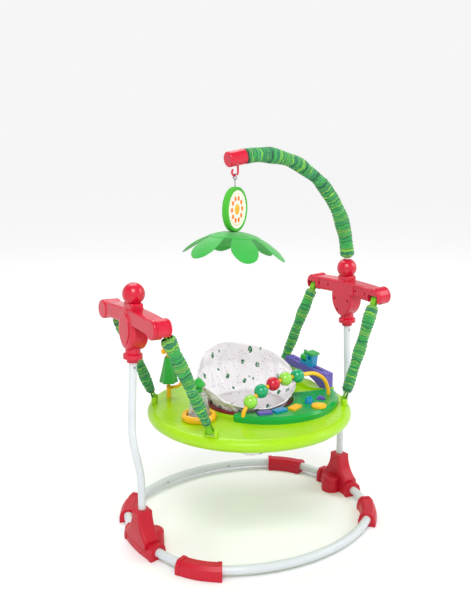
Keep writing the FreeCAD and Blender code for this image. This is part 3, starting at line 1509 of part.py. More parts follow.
def cab_solid():
    """Cab with side windows, a chassis under the boiler and a keel in the slot."""
    chassis_height = 8
    cab = Part.makeBox(cab_length, cab_width, cab_height,
                       Vector(-cab_length, -cab_width / 2, 0))
    cab = cab.makeFillet(2.5, [e for e in cab.Edges if e.BoundBox.ZLength > cab_height - 1])
    window = Part.makeBox(cab_window, cab_width * 2, cab_window,
                          Vector(-cab_length / 2 - cab_window / 2, -cab_width,
                                 cab_height - cab_window - 6))
    chassis = Part.makeBox(boiler_length, cab_width * 0.8, chassis_height,
                           Vector(0, -cab_width * 0.4, 0))
    keel = Part.makeBox(cab_length, train_keel, 12,
                        Vector(-cab_length / 2, -train_keel / 2, -12))
    return cab.cut(window).fuse([chassis, keel]).removeSplitter()


def boiler_solid():
    low = Vector(0, 0, 8 + boiler_radius)
    barrel = Part.makeCylinder(boiler_radius, boiler_length, low, X_AXIS)
    saddle = Part.makeBox(boiler_length, boiler_radius, boiler_radius,
                          Vector(0, -boiler_radius / 2, 8))
    stack = Part.makeCylinder(chimney_radius, boiler_radius + chimney_height,
                              low + X_AXIS * boiler_length * 0.68)
    cap = Part.makeCone(chimney_radius, chimney_radius * 1.7, 4,
                        low + X_AXIS * boiler_length * 0.68
                        + Z_AXIS * (boiler_radius + chimney_height - 4))
    return barrel.fuse([saddle, stack, cap]).removeSplitter()


def roof_solid():
    roof = Part.makeBox(roof_length, roof_width, roof_thickness,
                        Vector(-cab_length / 2 - roof_length / 2, -roof_width / 2, cab_height))
    return roof.makeFillet(2.4, [e for e in roof.Edges if e.BoundBox.ZMin > cab_height + 1])


green_parts = Part.makeCompound([boiler_solid(), roof_solid()])
for label, shape in (("train_cab", cab_solid()), ("train_boiler", green_parts)):
    thing = solid(label.title().replace("_", ""), shape)
    thing.Placement = train_frame
    node(label, thing)


# Tumbler toy. A round dish on the left of the tray holds a clear tapered
# cup that turns, with a leafy crown and a small ball on its lid.
tumbler_x = size("tumbler_x", -194)
tumbler_y = size("tumbler_y", -30)
dish_radius = size("dish_radius", 51)
dish_height = size("dish_height", 19)
dish_bore = size("dish_bore", 36)
dish_floor = size("dish_floor", 5)
cup_low_radius = size("cup_low_radius", 34)
cup_top_radius = size("cup_top_radius", 22)
cup_height = size("cup_height", 70)
cup_wall = size("cup_wall", 2)
crown_radius = size("crown_radius", 21)
crown_height = size("crown_height", 30)
crown_leaves = int(size("crown_leaves", 7))
crown_leaf_thickness = size("crown_leaf_thickness", 5)
crown_leaf_lean = size("crown_leaf_lean", 55)
stem_height = size("stem_height", 20)

dish = turned("TumblerDish", [
    ("0", "0"),
    ("sizes.dish_radius - 2", "0"),
    ("sizes.dish_radius", "3"),
    ("sizes.dish_radius", "sizes.dish_height * 0.6"),
    ("sizes.dish_radius - 4", "sizes.dish_height - 1.5"),
    ("sizes.dish_radius - 8", "sizes.dish_height"),
    ("sizes.dish_bore + 3", "sizes.dish_height - 1.5"),
    ("sizes.dish_bore", "sizes.dish_height - 5"),
    ("sizes.dish_bore", "sizes.dish_floor"),
    ("0", "sizes.dish_floor"),
])
put(dish, "sizes.tumbler_x", "sizes.tumbler_y", "sizes.tray_top")
node("tumbler_dish", dish)
cup = turned("TumblerCup", [
    ("0", "0"),
    ("sizes.cup_low_radius", "0"),
    ("sizes.cup_top_radius", "sizes.cup_height - 3"),
    ("sizes.cup_top_radius - 3", "sizes.cup_height"),
    ("0", "sizes.cup_height"),
    ("0", "sizes.cup_height - sizes.cup_wall"),
    ("sizes.cup_top_radius - 4", "sizes.cup_height - sizes.cup_wall"),
    ("sizes.cup_low_radius - sizes.cup_wall", "sizes.cup_wall + 1"),
    ("0", "sizes.cup_wall"),
])
put(cup, "sizes.tumbler_x", "sizes.tumbler_y", "sizes.tray_top + sizes.dish_floor + sizes.running_gap")
node("tumbler_cup", cup)

cup_top = Vector(tumbler_x, tumbler_y, tray_top + dish_floor + running_gap + cup_height)


def crown_solid():
    """Stem with a small ball, and a tuft of rounded leaves on top."""
    stem = Part.makeCylinder(4, stem_height + 4, cup_top)
    ball = Part.makeSphere(11, cup_top + Z_AXIS * (stem_height * 0.55))
    leaves = []
    for index in range(crown_leaves):
        leaf = Part.makeCylinder(crown_radius * 0.45, crown_leaf_thickness)
        leaf.rotate(ORIGIN, Y_AXIS, crown_leaf_lean)
        leaf.translate(Vector(crown_radius * 0.5, 0, crown_height * 0.3))
        leaf.rotate(ORIGIN, Z_AXIS, index * 360 / crown_leaves)
        leaves.append(leaf)
    heart = Part.makeSphere(crown_radius * 0.55, Vector(0, 0, crown_height * 0.5))
    tuft = heart.fuse(leaves)
    tuft.translate(cup_top + Z_AXIS * stem_height)
    return stem.fuse([ball, tuft]).removeSplitter()


node("tumbler_crown", solid("TumblerCrown", crown_solid()))


# Flower toy. A stub post on the left rear of the tray has a curved arm, and
# a flower figure on a bendy stem with a cloth leaf skirt stands on it.
flower_x = size("flower_x", -176)
flower_y = size("flower_y", 184)
stub_radius = size("stub_radius", 7.5)
stub_height = size("stub_height", 36)
bracket_wire = size("bracket_wire", 5)
bracket_reach = size("bracket_reach", 26)
bracket_sink = size("bracket_sink", 1.5)
bracket_bend = size("bracket_bend", 20)
stem_radius = size("stem_radius", 8)
stem_length = size("stem_length", 152)
stem_barrel_radius = size("stem_barrel_radius", 5)
stem_barrel_length = size("stem_barrel_length", 13)
skirt_low_radius = size("skirt_low_radius", 27)
skirt_top_radius = size("skirt_top_radius", 11)
skirt_height = size("skirt_height", 82)
skirt_lift = size("skirt_lift", 13)
skirt_wall = size("skirt_wall", 2)
skirt_folds = int(size("skirt_folds", 6))
skirt_fold_depth = size("skirt_fold_depth", 3)
petal_radius = size("petal_radius", 8.5)
petal_reach = size("petal_reach", 15)

flower_foot = Vector(flower_x, flower_y, tray_top)
stub_top = flower_foot + Z_AXIS * stub_height


def bracket_solid():
    stub = Part.makeCylinder(stub_radius, stub_height, flower_foot)
    start = stub_top - Z_AXIS * (bracket_wire + bracket_sink)
    turn_point = start + X_AXIS * bracket_reach
    arm = tube_along([
        Part.LineSegment(start, turn_point).toShape(),
        arc_between(turn_point + Z_AXIS * bracket_bend, bracket_bend, -90, -8, Y_AXIS),
    ], bracket_wire)
    tip = turn_point + Vector(bracket_bend, 0, bracket_bend)
    whole = stub.fuse(arm).fuse(Part.makeSphere(bracket_wire * 1.25, tip)).removeSplitter()
    saddle = Part.makeCylinder(stem_barrel_radius + running_gap, stub_radius * 4,
                               stub_top - Y_AXIS * stub_radius * 2, Y_AXIS)
    return whole.cut(saddle)


def stem_solid():
    """Stem on a cross barrel that rocks in the saddle of the stub."""
    low = stub_top
    stem = Part.makeCone(stem_barrel_radius * 0.94, stem_radius, stem_length - stem_radius, low)
    stem = stem.fuse(Part.makeCylinder(stem_barrel_radius, stem_barrel_length,
                                       low - Y_AXIS * stem_barrel_length / 2, Y_AXIS))
    head = low + Z_AXIS * (stem_length - stem_radius)
    pieces = [Part.makeSphere(stem_radius * 1.15, head)]
    for turn, lift in ((190, -12), (250, -34), (10, -34), (130, -34)):
        out = Vector(math.cos(math.radians(turn)), math.sin(math.radians(turn)), 0)
        place = head + out * petal_reach + Z_AXIS * lift
        pieces.append(Part.makeCylinder(3.5, petal_reach, head + Z_AXIS * lift, out))
        pieces.append(Part.makeSphere(petal_radius, place))
    for piece in pieces:
        stem = stem.fuse(piece)
    return stem.removeSplitter()


def folded_ring(radius, depth, height):
    """Closed wavy ring of arcs: the folds of the skirt at one level."""
    points = []
    steps = skirt_folds * 2
    for index in range(steps):
        turn = 2 * math.pi * index / steps
        reach = radius + (depth if index % 2 else -depth)
        points.append(Vector(math.cos(turn) * reach, math.sin(turn) * reach, height))
    edges = []
    for index in range(steps):
        edges.append(Part.LineSegment(points[index], points[(index + 1) % steps]).toShape())
    return Part.Wire(edges)


def skirt_solid():
    def cone(inset):
        low = folded_ring(skirt_low_radius - inset, skirt_fold_depth, 0)
        top = folded_ring(skirt_top_radius - inset * 0.5, 0.2, skirt_height)
        return Part.makeLoft([low, top], True, True)
    shape = cone(0).cut(cone(skirt_wall))
    shape.translate(stub_top + Z_AXIS * skirt_lift)
    return shape


stem_shape = stem_solid()
node("flower_bracket", solid("FlowerBracket", bracket_solid()))
node("flower_stem", solid("FlowerStem", stem_shape))
stem_room = Part.makeCylinder(stem_radius + running_gap, stem_length, stub_top)
node("flower_skirt", solid("FlowerSkirt", skirt_solid().cut(stem_room)))


# Every object has to be sound before anything is written.
doc.recompute()
for thing in doc.Objects:
    if "Invalid" in thing.State or "Error" in thing.State:
        raise RuntimeError("object failed: " + thing.Name)
for thing in nodes:
    shape = thing.Shape
    if shape.isNull() or not shape.isValid() or not shape.Solids:
        raise RuntimeError("sub-part has no sound solid: " + thing.Label)
for thing in nodes:
    thing.Shape.exportStep("parts/" + thing.Label + ".step")
    box = thing.Shape.BoundBox
    print(thing.Label, len(thing.Shape.Solids), round(thing.Shape.Volume / 1000, 1),
          [round(v) for v in (box.XMin, box.XMax, box.YMin, box.YMax, box.ZMin, box.ZMax)])
print("nodes", len(nodes))
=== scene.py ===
import bpy
import math
import numpy as np
from mathutils import Matrix, Vector, noise


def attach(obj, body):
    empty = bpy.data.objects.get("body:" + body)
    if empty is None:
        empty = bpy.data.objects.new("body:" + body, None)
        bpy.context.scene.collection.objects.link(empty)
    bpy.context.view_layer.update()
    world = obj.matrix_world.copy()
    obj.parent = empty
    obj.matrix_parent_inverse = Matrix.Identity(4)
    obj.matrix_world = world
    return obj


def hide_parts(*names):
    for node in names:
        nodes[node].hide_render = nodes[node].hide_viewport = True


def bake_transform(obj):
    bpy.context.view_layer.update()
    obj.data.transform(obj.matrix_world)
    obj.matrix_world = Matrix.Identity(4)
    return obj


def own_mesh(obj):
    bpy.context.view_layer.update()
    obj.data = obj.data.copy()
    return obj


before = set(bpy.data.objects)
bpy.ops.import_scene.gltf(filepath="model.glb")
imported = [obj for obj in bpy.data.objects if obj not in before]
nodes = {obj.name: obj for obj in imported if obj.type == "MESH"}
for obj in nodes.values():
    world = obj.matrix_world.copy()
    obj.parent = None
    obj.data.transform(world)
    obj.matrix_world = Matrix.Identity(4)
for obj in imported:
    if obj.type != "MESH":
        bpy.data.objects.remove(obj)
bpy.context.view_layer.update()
scene = bpy.context.scene


# Base ring: two bent steel tubes, powder coated in a cool white.
# The coat has a faint orange peel and slightly uneven gloss.
def new_material(name):
    """A node material, its tree and its shader."""
    material = bpy.data.materials.new(name)
    material.use_nodes = True
    return material, material.node_tree, material.node_tree.nodes["Principled BSDF"]


def add(tree, kind, **values):
    """One shader node with its properties set."""
    made = tree.nodes.new("ShaderNode" + kind)
    for key, value in values.items():
        setattr(made, key, value)
    return made


def dress(material, *names):
    """Gives CAD nodes a material."""
    for name in names:
        mesh = nodes[name].data
        mesh.materials.clear()
        mesh.materials.append(material)


def surface_group():
    """Shared skin of moulded and coated parts: a gloss mask, dust in broad patches and a bump."""
    group = bpy.data.node_groups.new("moulded_skin", "ShaderNodeTree")
    for name, kind in (("Grain", "NodeSocketFloat"), ("Relief", "NodeSocketFloat")):
        group.interface.new_socket(name, in_out="INPUT", socket_type=kind)
    for name, kind in (("Patches", "NodeSocketFloat"), ("Normal", "NodeSocketVector")):
        group.interface.new_socket(name, in_out="OUTPUT", socket_type=kind)
    entry = group.nodes.new("NodeGroupInput")
    leave = group.nodes.new("NodeGroupOutput")
    place = add(group, "TexCoord")
    fine = add(group, "TexNoise")
    fine.inputs["Detail"].default_value = 3.0
    broad = add(group, "TexNoise")
    broad.inputs["Scale"].default_value = 14.0
    broad.inputs["Detail"].default_value = 4.0
    bump = add(group, "Bump")
    bump.inputs["Distance"].default_value = 0.0004
    group.links.new(place.outputs["Object"], fine.inputs["Vector"])
    group.links.new(place.outputs["Object"], broad.inputs["Vector"])
    group.links.new(entry.outputs["Grain"], fine.inputs["Scale"])
    group.links.new(entry.outputs["Relief"], bump.inputs["Strength"])
    group.links.new(fine.outputs["Fac"], bump.inputs["Height"])
    group.links.new(broad.outputs["Fac"], leave.inputs["Patches"])
    group.links.new(bump.outputs["Normal"], leave.inputs["Normal"])
    return group


moulded_skin = surface_group()


def coated(name, colour, deep, rough, grain, relief, coat=0.0, see_through=0.0):
    """Plastic or paint: two close tones in broad patches, uneven gloss and a fine grain."""
    material, tree, shader = new_material(name)
    skin = add(tree, "Group")
    skin.node_tree = moulded_skin
    skin.inputs["Grain"].default_value = grain
    skin.inputs["Relief"].default_value = relief
    tone = add(tree, "Mix", data_type="RGBA")
    tone.inputs[6].default_value = (*colour, 1)
    tone.inputs[7].default_value = (*deep, 1)
    gloss = add(tree, "MapRange")
    gloss.inputs["From Min"].default_value = 0.3
    gloss.inputs["From Max"].default_value = 0.7
    gloss.inputs["To Min"].default_value = rough * 0.85
    gloss.inputs["To Max"].default_value = rough * 1.2
    tree.links.new(skin.outputs["Patches"], tone.inputs[0])
    tree.links.new(skin.outputs["Patches"], gloss.inputs["Value"])
    tree.links.new(tone.outputs[2], shader.inputs["Base Color"])
    tree.links.new(gloss.outputs["Result"], shader.inputs["Roughness"])
    tree.links.new(skin.outputs["Normal"], shader.inputs["Normal"])
    shader.inputs["Specular IOR Level"].default_value = 0.36
    shader.inputs["Coat Weight"].default_value = coat
    shader.inputs["Coat Roughness"].default_value = 0.12
    shader.inputs["Transmission Weight"].default_value = see_through
    return material


white_coat = coated("white_coat", (0.66, 0.69, 0.71), (0.58, 0.62, 0.65), 0.34, 700, 0.25, 0.3)
dress(white_coat, "ring_tube_front", "ring_tube_rear")


# Floor feet and leg sockets: soft satin red mouldings with a leather-like
# grain, and the steel snap buttons beside them.
foot_red = coated("foot_red", (0.56, 0.006, 0.026), (0.46, 0.004, 0.018), 0.42, 1100, 0.5)
dress(foot_red, "foot_front_left", "foot_front_right", "foot_rear_left", "foot_rear_right",
      "leg_socket_left", "leg_socket_right")
steel = coated("steel", (0.42, 0.42, 0.44), (0.34, 0.34, 0.36), 0.3, 1500, 0.3)
steel.node_tree.nodes["Principled BSDF"].inputs["Metallic"].default_value = 1.0
dress(steel, "frame_buttons", "strap_anchor_pins", "mobile_link")
dress(white_coat, "post_left", "post_right")


# Spring housings, collars and balls: glossy red mouldings.
gloss_red = coated("gloss_red", (0.60, 0.006, 0.034), (0.50, 0.004, 0.024), 0.24, 500, 0.12, 0.25)
dress(gloss_red, "housing_outer_left", "housing_outer_right", "housing_inner_left",
      "housing_inner_right", "housing_collar_left", "housing_collar_right", "ball_cap_left",
      "ball_socket_right", "toy_arm_cap")
dress(white_coat, "toy_arm_tube")


# Toy arm sleeve: an elastic cotton tube in bands of mixed greens, pushed
# together along the steel arm so that it stands in tight uneven rings.
def cloth_group():
    """Shared plain weave: two crossed fine waves as a bump, and their mask."""
    group = bpy.data.node_groups.new("plain_weave", "ShaderNodeTree")
    group.interface.new_socket("Scale", in_out="INPUT", socket_type="NodeSocketFloat")
    group.interface.new_socket("Threads", in_out="OUTPUT", socket_type="NodeSocketFloat")
    group.interface.new_socket("Normal", in_out="OUTPUT", socket_type="NodeSocketVector")
    entry = group.nodes.new("NodeGroupInput")
    leave = group.nodes.new("NodeGroupOutput")
    place = add(group, "TexCoord")
    waves = []
    for direction in ("X", "Z"):
        wave = add(group, "TexWave", bands_direction=direction)
        wave.inputs["Distortion"].default_value = 0.6
        wave.inputs["Detail"].default_value = 1.0
        group.links.new(place.outputs["Object"], wave.inputs["Vector"])
        group.links.new(entry.outputs["Scale"], wave.inputs["Scale"])
        waves.append(wave)
    both = add(group, "Math", operation="MULTIPLY")
    bump = add(group, "Bump")
    bump.inputs["Distance"].default_value = 0.0005
    bump.inputs["Strength"].default_value = 0.35
    group.links.new(waves[0].outputs["Fac"], both.inputs[0])
    group.links.new(waves[1].outputs["Fac"], both.inputs[1])
    group.links.new(both.outputs[0], bump.inputs["Height"])
    group.links.new(both.outputs[0], leave.inputs["Threads"])
    group.links.new(bump.outputs["Normal"], leave.inputs["Normal"])
    return group


plain_weave = cloth_group()


def banded_cloth(name, stops, band):
    """Cloth in bands along the mesh attribute "along", from a colour ramp of greens."""
    material, tree, shader = new_material(name)
    along = add(tree, "Attribute", attribute_name="along")
    weave = add(tree, "Group")
    weave.node_tree = plain_weave
    weave.inputs["Scale"].default_value = 260
    place = add(tree, "TexCoord")
    wander = add(tree, "TexNoise")
    wander.inputs["Scale"].default_value = 60
    tree.links.new(place.outputs["Object"], wander.inputs["Vector"])
    shift = add(tree, "Math", operation="MULTIPLY_ADD")
    shift.inputs[1].default_value = 0.016
    tree.links.new(wander.outputs["Fac"], shift.inputs[0])
    tree.links.new(along.outputs["Fac"], shift.inputs[2])
    pick = add(tree, "TexNoise", noise_dimensions="1D")
    pick.inputs["Scale"].default_value = 1 / band
    pick.inputs["Detail"].default_value = 3.0
    pick.inputs["Roughness"].default_value = 0.7
    tree.links.new(shift.outputs[0], pick.inputs["W"])
    ramp = add(tree, "ValToRGB")
    ramp.color_ramp.interpolation = "EASE"
    while len(ramp.color_ramp.elements) > 1:
        ramp.color_ramp.elements.remove(ramp.color_ramp.elements[0])
    ramp.color_ramp.elements[0].position = stops[0][0]
    ramp.color_ramp.elements[0].color = (*stops[0][1], 1)
    for position, colour in stops[1:]:
        ramp.color_ramp.elements.new(position).color = (*colour, 1)
    tree.links.new(pick.outputs["Fac"], ramp.inputs["Fac"])
    tree.links.new(ramp.outputs["Color"], shader.inputs["Base Color"])
    tree.links.new(weave.outputs["Normal"], shader.inputs["Normal"])
    shader.inputs["Roughness"].default_value = 0.85
    shader.inputs["Sheen Weight"].default_value = 0.25
    return material


sleeve_cloth = banded_cloth("sleeve_cloth", [
    (0.28, (0.002, 0.055, 0.030)),
    (0.38, (0.006, 0.17, 0.05)),
    (0.46, (0.030, 0.34, 0.05)),
    (0.52, (0.004, 0.13, 0.075)),
    (0.58, (0.20, 0.50, 0.035)),
    (0.64, (0.012, 0.26, 0.06)),
    (0.70, (0.004, 0.19, 0.14)),
    (0.76, (0.10, 0.42, 0.04)),
], 0.022)


def gathered_tube(name, centres, radii, pitch, depth, seed, around=40):
    """Cloth rolled to a tube along a line of centres, seamed and pinched in uneven rings."""
    mesh = bpy.data.meshes.new(name)
    points = []
    along = []
    travelled = 0.0
    rings = len(centres)
    for index in range(rings):
        here = centres[index]
        ahead = centres[min(index + 1, rings - 1)] - centres[max(index - 1, 0)]
        ahead.normalize()
        side = ahead.cross(Vector((0.12, 1.0, 0.05))).normalized()
        up = side.cross(ahead)
        if index:
            travelled += (here - centres[index - 1]).length
        for step in range(around + 1):
            turn = 2 * math.pi * (step % around) / around
            out = side * math.cos(turn) + up * math.sin(turn)
            probe = out * 1.1 + Vector((seed, travelled * 45, 0))
            phase = travelled / pitch + 0.55 * noise.noise(probe) + 0.8 * noise.noise(
                Vector((travelled * 30, seed, 0)))
            fold = abs(math.sin(math.pi * phase)) ** 0.7
            lump = noise.noise(out * 0.9 + Vector((0, seed, travelled * 22)))
            reach = radii[index] + depth * (fold - 0.75) + depth * 0.9 * lump
            points.append(here + out * reach)
            along.append(travelled)
    faces = []
    for index in range(rings - 1):
        for step in range(around):
            a = index * (around + 1) + step
            faces.append((a, a + 1, a + around + 2, a + around + 1))
    mesh.from_pydata(points, [], faces)
    mesh.polygons.foreach_set("use_smooth", [True] * len(mesh.polygons))
    mesh.attributes.new("along", "FLOAT", "POINT").data.foreach_set("value", along)
    piece = bpy.data.objects.new(name, mesh)
    scene.collection.objects.link(piece)
    return piece


arc_centre = Vector((0.03059, 0, 0.76492))
arc_radius = 0.346
arm_line = []
for step in range(620):
    turn = math.radians(3.1 + (98.6 - 3.1) * step / 619)
    arm_line.append(arc_centre + Vector((math.cos(turn), 0, math.sin(turn))) * arc_radius)
arm_radii = []
for step in range(620):
    share = step / 619
    swell = 0.0205 + 0.0015 * math.sin(share * 9) + 0.001 * math.sin(share * 31 + 1)
    ends = min(1.0, share * 30 + 0.55, (1 - share) * 30 + 0.7)
    arm_radii.append(swell * ends)
arm_sleeve = gathered_tube("arm_sleeve_cloth", arm_line, arm_radii, 0.0105, 0.0030, 3.0)
arm_sleeve.data.materials.append(sleeve_cloth)
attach(arm_sleeve, "frame")
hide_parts("toy_arm_sleeve")


# Suspension sleeves: the same cloth, bunched over the springs. Their top straps
# ride with the frame and their foot straps with the tray.
webbing_lime = coated("webbing_lime", (0.20, 0.52, 0.012), (0.14, 0.42, 0.010), 0.75, 1400, 0.8)


def webbing(name, anchor, toward, across, turn_radius, reach):
    """Flat woven strap: up one side of a bar, round it and back, 20 mm wide."""
    thin = toward.cross(across).normalized()
    across = thin.cross(toward).normalized()
    path = [toward * reach + thin * 0.0012, toward * reach * 0.55 + thin * turn_radius * 0.9]
    for step in range(13):
        turn = math.pi * step / 12
        path.append(thin * math.cos(turn) * turn_radius - toward * math.sin(turn) * turn_radius)
    path += [toward * reach * 0.55 - thin * turn_radius * 0.9, toward * reach - thin * 0.0012]
    mesh = bpy.data.meshes.new(name)
    points = []
    for place in path:
        for side in (-0.0100, -0.0035, 0.0035, 0.0100):
            points.append(anchor + place + across * side)
    faces = []
    for row in range(len(path) - 1):
        for column in range(3):
            a = row * 4 + column
            faces.append((a, a + 1, a + 5, a + 4))
    mesh.from_pydata(points, [], faces)
    piece = bpy.data.objects.new(name, mesh)
    scene.collection.objects.link(piece)
    piece.data.materials.append(webbing_lime)
    body = piece.modifiers.new("body", "SOLIDIFY")
    body.thickness = 0.0014
    body.offset = 0
    return piece


def coil_spring(name, start, end, radius, wire, turns):
    """Closed round wire wound evenly from start to end."""
    along = (end - start).normalized()
    side = along.cross(Vector((0, 1, 0))).normalized()
    up = along.cross(side)
    mesh = bpy.data.meshes.new(name)
    points = []
    steps = turns * 12
    for step in range(steps + 1):
        turn = 2 * math.pi * step / 12
        out = side * math.cos(turn) + up * math.sin(turn)
        for edge in range(6):
            lean = 2 * math.pi * edge / 6
            points.append(start.lerp(end, step / steps) + out * (radius + wire * math.cos(lean))
                          + along * wire * math.sin(lean))
    faces = [tuple(range(6)), tuple(range(steps * 6 + 5, steps * 6 - 1, -1))]
    for step in range(steps):
        for edge in range(6):
            follow = (edge + 1) % 6
            faces.append((step * 6 + edge, step * 6 + 6 + edge,
                          step * 6 + 6 + follow, step * 6 + follow))
    mesh.from_pydata(points, [], faces)
    mesh.polygons.foreach_set("use_smooth", [True] * len(mesh.polygons))
    piece = bpy.data.objects.new(name, mesh)
    scene.collection.objects.link(piece)
    return piece


spans = {
    "front_right": ((0.3653, -0.147, 0.6783), (0.2368, -0.1640, 0.380), 5.1),
    "front_left": ((-0.3653, -0.147, 0.6783), (-0.2368, -0.1640, 0.380), 7.7),
    "rear_right": ((0.3653, 0.147, 0.6783), (0.2348, 0.1668, 0.380), 9.3),
    "rear_left": ((-0.3653, 0.147, 0.6783), (-0.2348, 0.1668, 0.380), 12.9),
}
for word, (top, foot, seed) in spans.items():
    top = Vector(top)
    foot = Vector(foot)
    down = (foot - top).normalized()
    start = top + down * 0.024
    end = foot - down * 0.026
    line = [start.lerp(end, step / 339) for step in range(340)]
    radii = []
    for step in range(340):
        share = step / 339
        swell = 0.0185 - 0.0060 * max(0.0, share - 0.25) + 0.0016 * math.sin(share * 17 + seed)
        ends = min(1.0, share * 14 + 0.70, (1 - share) * 14 + 0.72)
        radii.append(swell * ends)
    sleeve = gathered_tube("spring_cloth_" + word, line, radii, 0.0100, 0.0030, seed)
    sleeve.data.materials.append(sleeve_cloth)
    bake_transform(sleeve)
    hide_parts("spring_sleeve_" + word)
    spring = coil_spring("spring_coil_" + word, start, end, 0.0065, 0.0011, 45)
    spring.data.materials.append(steel)
    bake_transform(spring)
    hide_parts("suspension_springs")
    level = Vector((-foot.y, foot.x, 0)).normalized()
    high_web = webbing("strap_top_" + word, top, down, Vector((0, 1, 0)), 0.0056, 0.034)
    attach(high_web, "frame")
    low_web = webbing("strap_foot_" + word, foot, -down, level, 0.0046, 0.036)
    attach(low_web, "tray")


# Tray: a lime shell over a lime pan, semi-gloss with soft edges.
lime = coated("lime", (0.36, 0.66, 0.0), (0.30, 0.58, 0.0), 0.30, 420, 0.15, 0.2)
dress(lime, "tray_shell", "tray_base", "strap_tabs", "bridge_footing")


# Console: green crescent with purple, blue and yellow keys, a blue knob, a
# purple roller and a yellow toothed spinner.
green = coated("green", (0.004, 0.36, 0.045), (0.003, 0.29, 0.035), 0.22, 420, 0.12, 0.3)
purple = coated("purple", (0.12, 0.085, 0.42), (0.09, 0.065, 0.34), 0.30, 420, 0.12, 0.2)
blue = coated("blue", (0.004, 0.27, 0.50), (0.003, 0.22, 0.42), 0.28, 420, 0.12, 0.2)
yellow = coated("yellow", (0.95, 0.52, 0.010), (0.86, 0.44, 0.008), 0.28, 420, 0.12, 0.2)
dress(green, "console_shell", "train_boiler")
dress(purple, "key_purple", "roller_drum", "bridge_arch")
dress(blue, "key_blue", "turn_knob", "train_cab")
dress(yellow, "key_yellow", "toothed_spinner", "bead_bar", "tumbler_dish", "flower_bracket",
      "flower_stem")


# Beads: five glossy balls that turn on the yellow bar.
light_bead = coated("light_bead", (0.30, 0.66, 0.07), (0.25, 0.58, 0.05), 0.20, 380, 0.1, 0.4)
teal_bead = coated("teal_bead", (0.004, 0.36, 0.14), (0.003, 0.30, 0.11), 0.20, 380, 0.1, 0.4)
dress(light_bead, "bead_1", "bead_4")
dress(teal_bead, "bead_2", "bead_5")
dress(gloss_red, "bead_3")


# Tumbler and flower toys: a clear cup, and leaves of brushed green felt.
clear = coated("clear", (0.93, 0.96, 0.97), (0.90, 0.94, 0.95), 0.10, 300, 0.05, 0.3, 0.85)
dress(clear, "tumbler_cup")
leaf = coated("leaf", (0.018, 0.40, 0.035), (0.012, 0.31, 0.028), 0.62, 900, 0.6)
leaf.node_tree.nodes["Principled BSDF"].inputs["Sheen Weight"].default_value = 0.3


# Seat: a dark red turning ring and a padded cotton bucket with a high back.
# The cotton is white with a loose scatter of leaf sprigs and small dots, and
# it is puffed and creased by a short cloth simulation.
dark_red = coated("dark_red", (0.20, 0.008, 0.012), (0.15, 0.005, 0.009), 0.30, 420, 0.12, 0.2)
dress(dark_red, "seat_ring")


def printed_cotton(name):
    """White cotton with leaf sprigs and dots laid out by two cell patterns."""
    material, tree, shader = new_material(name)
    place = add(tree, "TexCoord")
    weave = add(tree, "Group")
    weave.node_tree = plain_weave
    weave.inputs["Scale"].default_value = 300

    def marks(scale, stretch, limit, turn):
        """Mask of small stretched spots, one in some of the cells."""
        lay = add(tree, "Mapping")
        lay.inputs["Rotation"].default_value = turn
        lay.inputs["Scale"].default_value = stretch
        tree.links.new(place.outputs["Object"], lay.inputs["Vector"])
        cells = add(tree, "TexVoronoi")
        cells.inputs["Scale"].default_value = scale
        cells.inputs["Randomness"].default_value = 0.6
        tree.links.new(lay.outputs["Vector"], cells.inputs["Vector"])
        spot = add(tree, "Math", operation="LESS_THAN")
        spot.inputs[1].default_value = limit
        tree.links.new(cells.outputs["Distance"], spot.inputs[0])
        return spot, cells

    sprig, sprig_cells = marks(33, (1.0, 1.0, 0.62), 0.235, (0.5, 0.3, 0.2))
    notch, notch_cells = marks(120, (1.0, 1.0, 1.0), 0.30, (0.1, 0.9, 0.4))
    cut_out = add(tree, "Math", operation="SUBTRACT", use_clamp=True)
    tree.links.new(sprig.outputs[0], cut_out.inputs[0])
    tree.links.new(notch.outputs[0], cut_out.inputs[1])
    dot, dot_cells = marks(95, (1.0, 1.0, 1.0), 0.15, (0.7, 0.2, 0.6))
    speck_colour = add(tree, "ValToRGB")
    speck_colour.color_ramp.interpolation = "CONSTANT"
    speck_colour.color_ramp.elements[0].color = (0.10, 0.11, 0.38, 1)
    speck_colour.color_ramp.elements[1].position = 0.5
    speck_colour.color_ramp.elements[1].color = (0.50, 0.16, 0.15, 1)
    tree.links.new(dot_cells.outputs["Color"], speck_colour.inputs["Fac"])
    ground = add(tree, "TexNoise")
    ground.inputs["Scale"].default_value = 22
    tree.links.new(place.outputs["Object"], ground.inputs["Vector"])
    base = add(tree, "Mix", data_type="RGBA")
    base.inputs[6].default_value = (0.80, 0.77, 0.79, 1)
    base.inputs[7].default_value = (0.72, 0.69, 0.72, 1)
    tree.links.new(ground.outputs["Fac"], base.inputs[0])
    specked = add(tree, "Mix", data_type="RGBA")
    tree.links.new(dot.outputs[0], specked.inputs[0])
    tree.links.new(base.outputs[2], specked.inputs[6])
    tree.links.new(speck_colour.outputs["Color"], specked.inputs[7])
    printed = add(tree, "Mix", data_type="RGBA")
    tree.links.new(cut_out.outputs[0], printed.inputs[0])
    tree.links.new(specked.outputs[2], printed.inputs[6])
    printed.inputs[7].default_value = (0.025, 0.16, 0.06, 1)
    tree.links.new(printed.outputs[2], shader.inputs["Base Color"])
    tree.links.new(weave.outputs["Normal"], shader.inputs["Normal"])
    shader.inputs["Roughness"].default_value = 0.85
    shader.inputs["Sheen Weight"].default_value = 0.2
    return material


cotton = printed_cotton("seat_cotton")
seat_heading = math.radians(-12)
seat_turn = Matrix.Rotation(seat_heading, 3, "Z")


def seat_section(height):
    """Radius and backward shift of the seat wall at a height, about its own middle."""
    steps = [(0.374, 0.1153, 0.0), (0.410, 0.1410, 0.0034), (0.452, 0.1555, 0.017),
             (0.521, 0.1600, 0.017)]
    for (low, r_low, s_low), (high, r_high, s_high) in zip(steps, steps[1:]):
        if height <= high or high == 0.521:
            share = max(0.0, (height - low) / (high - low))
            return r_low + (r_high - r_low) * share, s_low + (s_high - s_low) * share


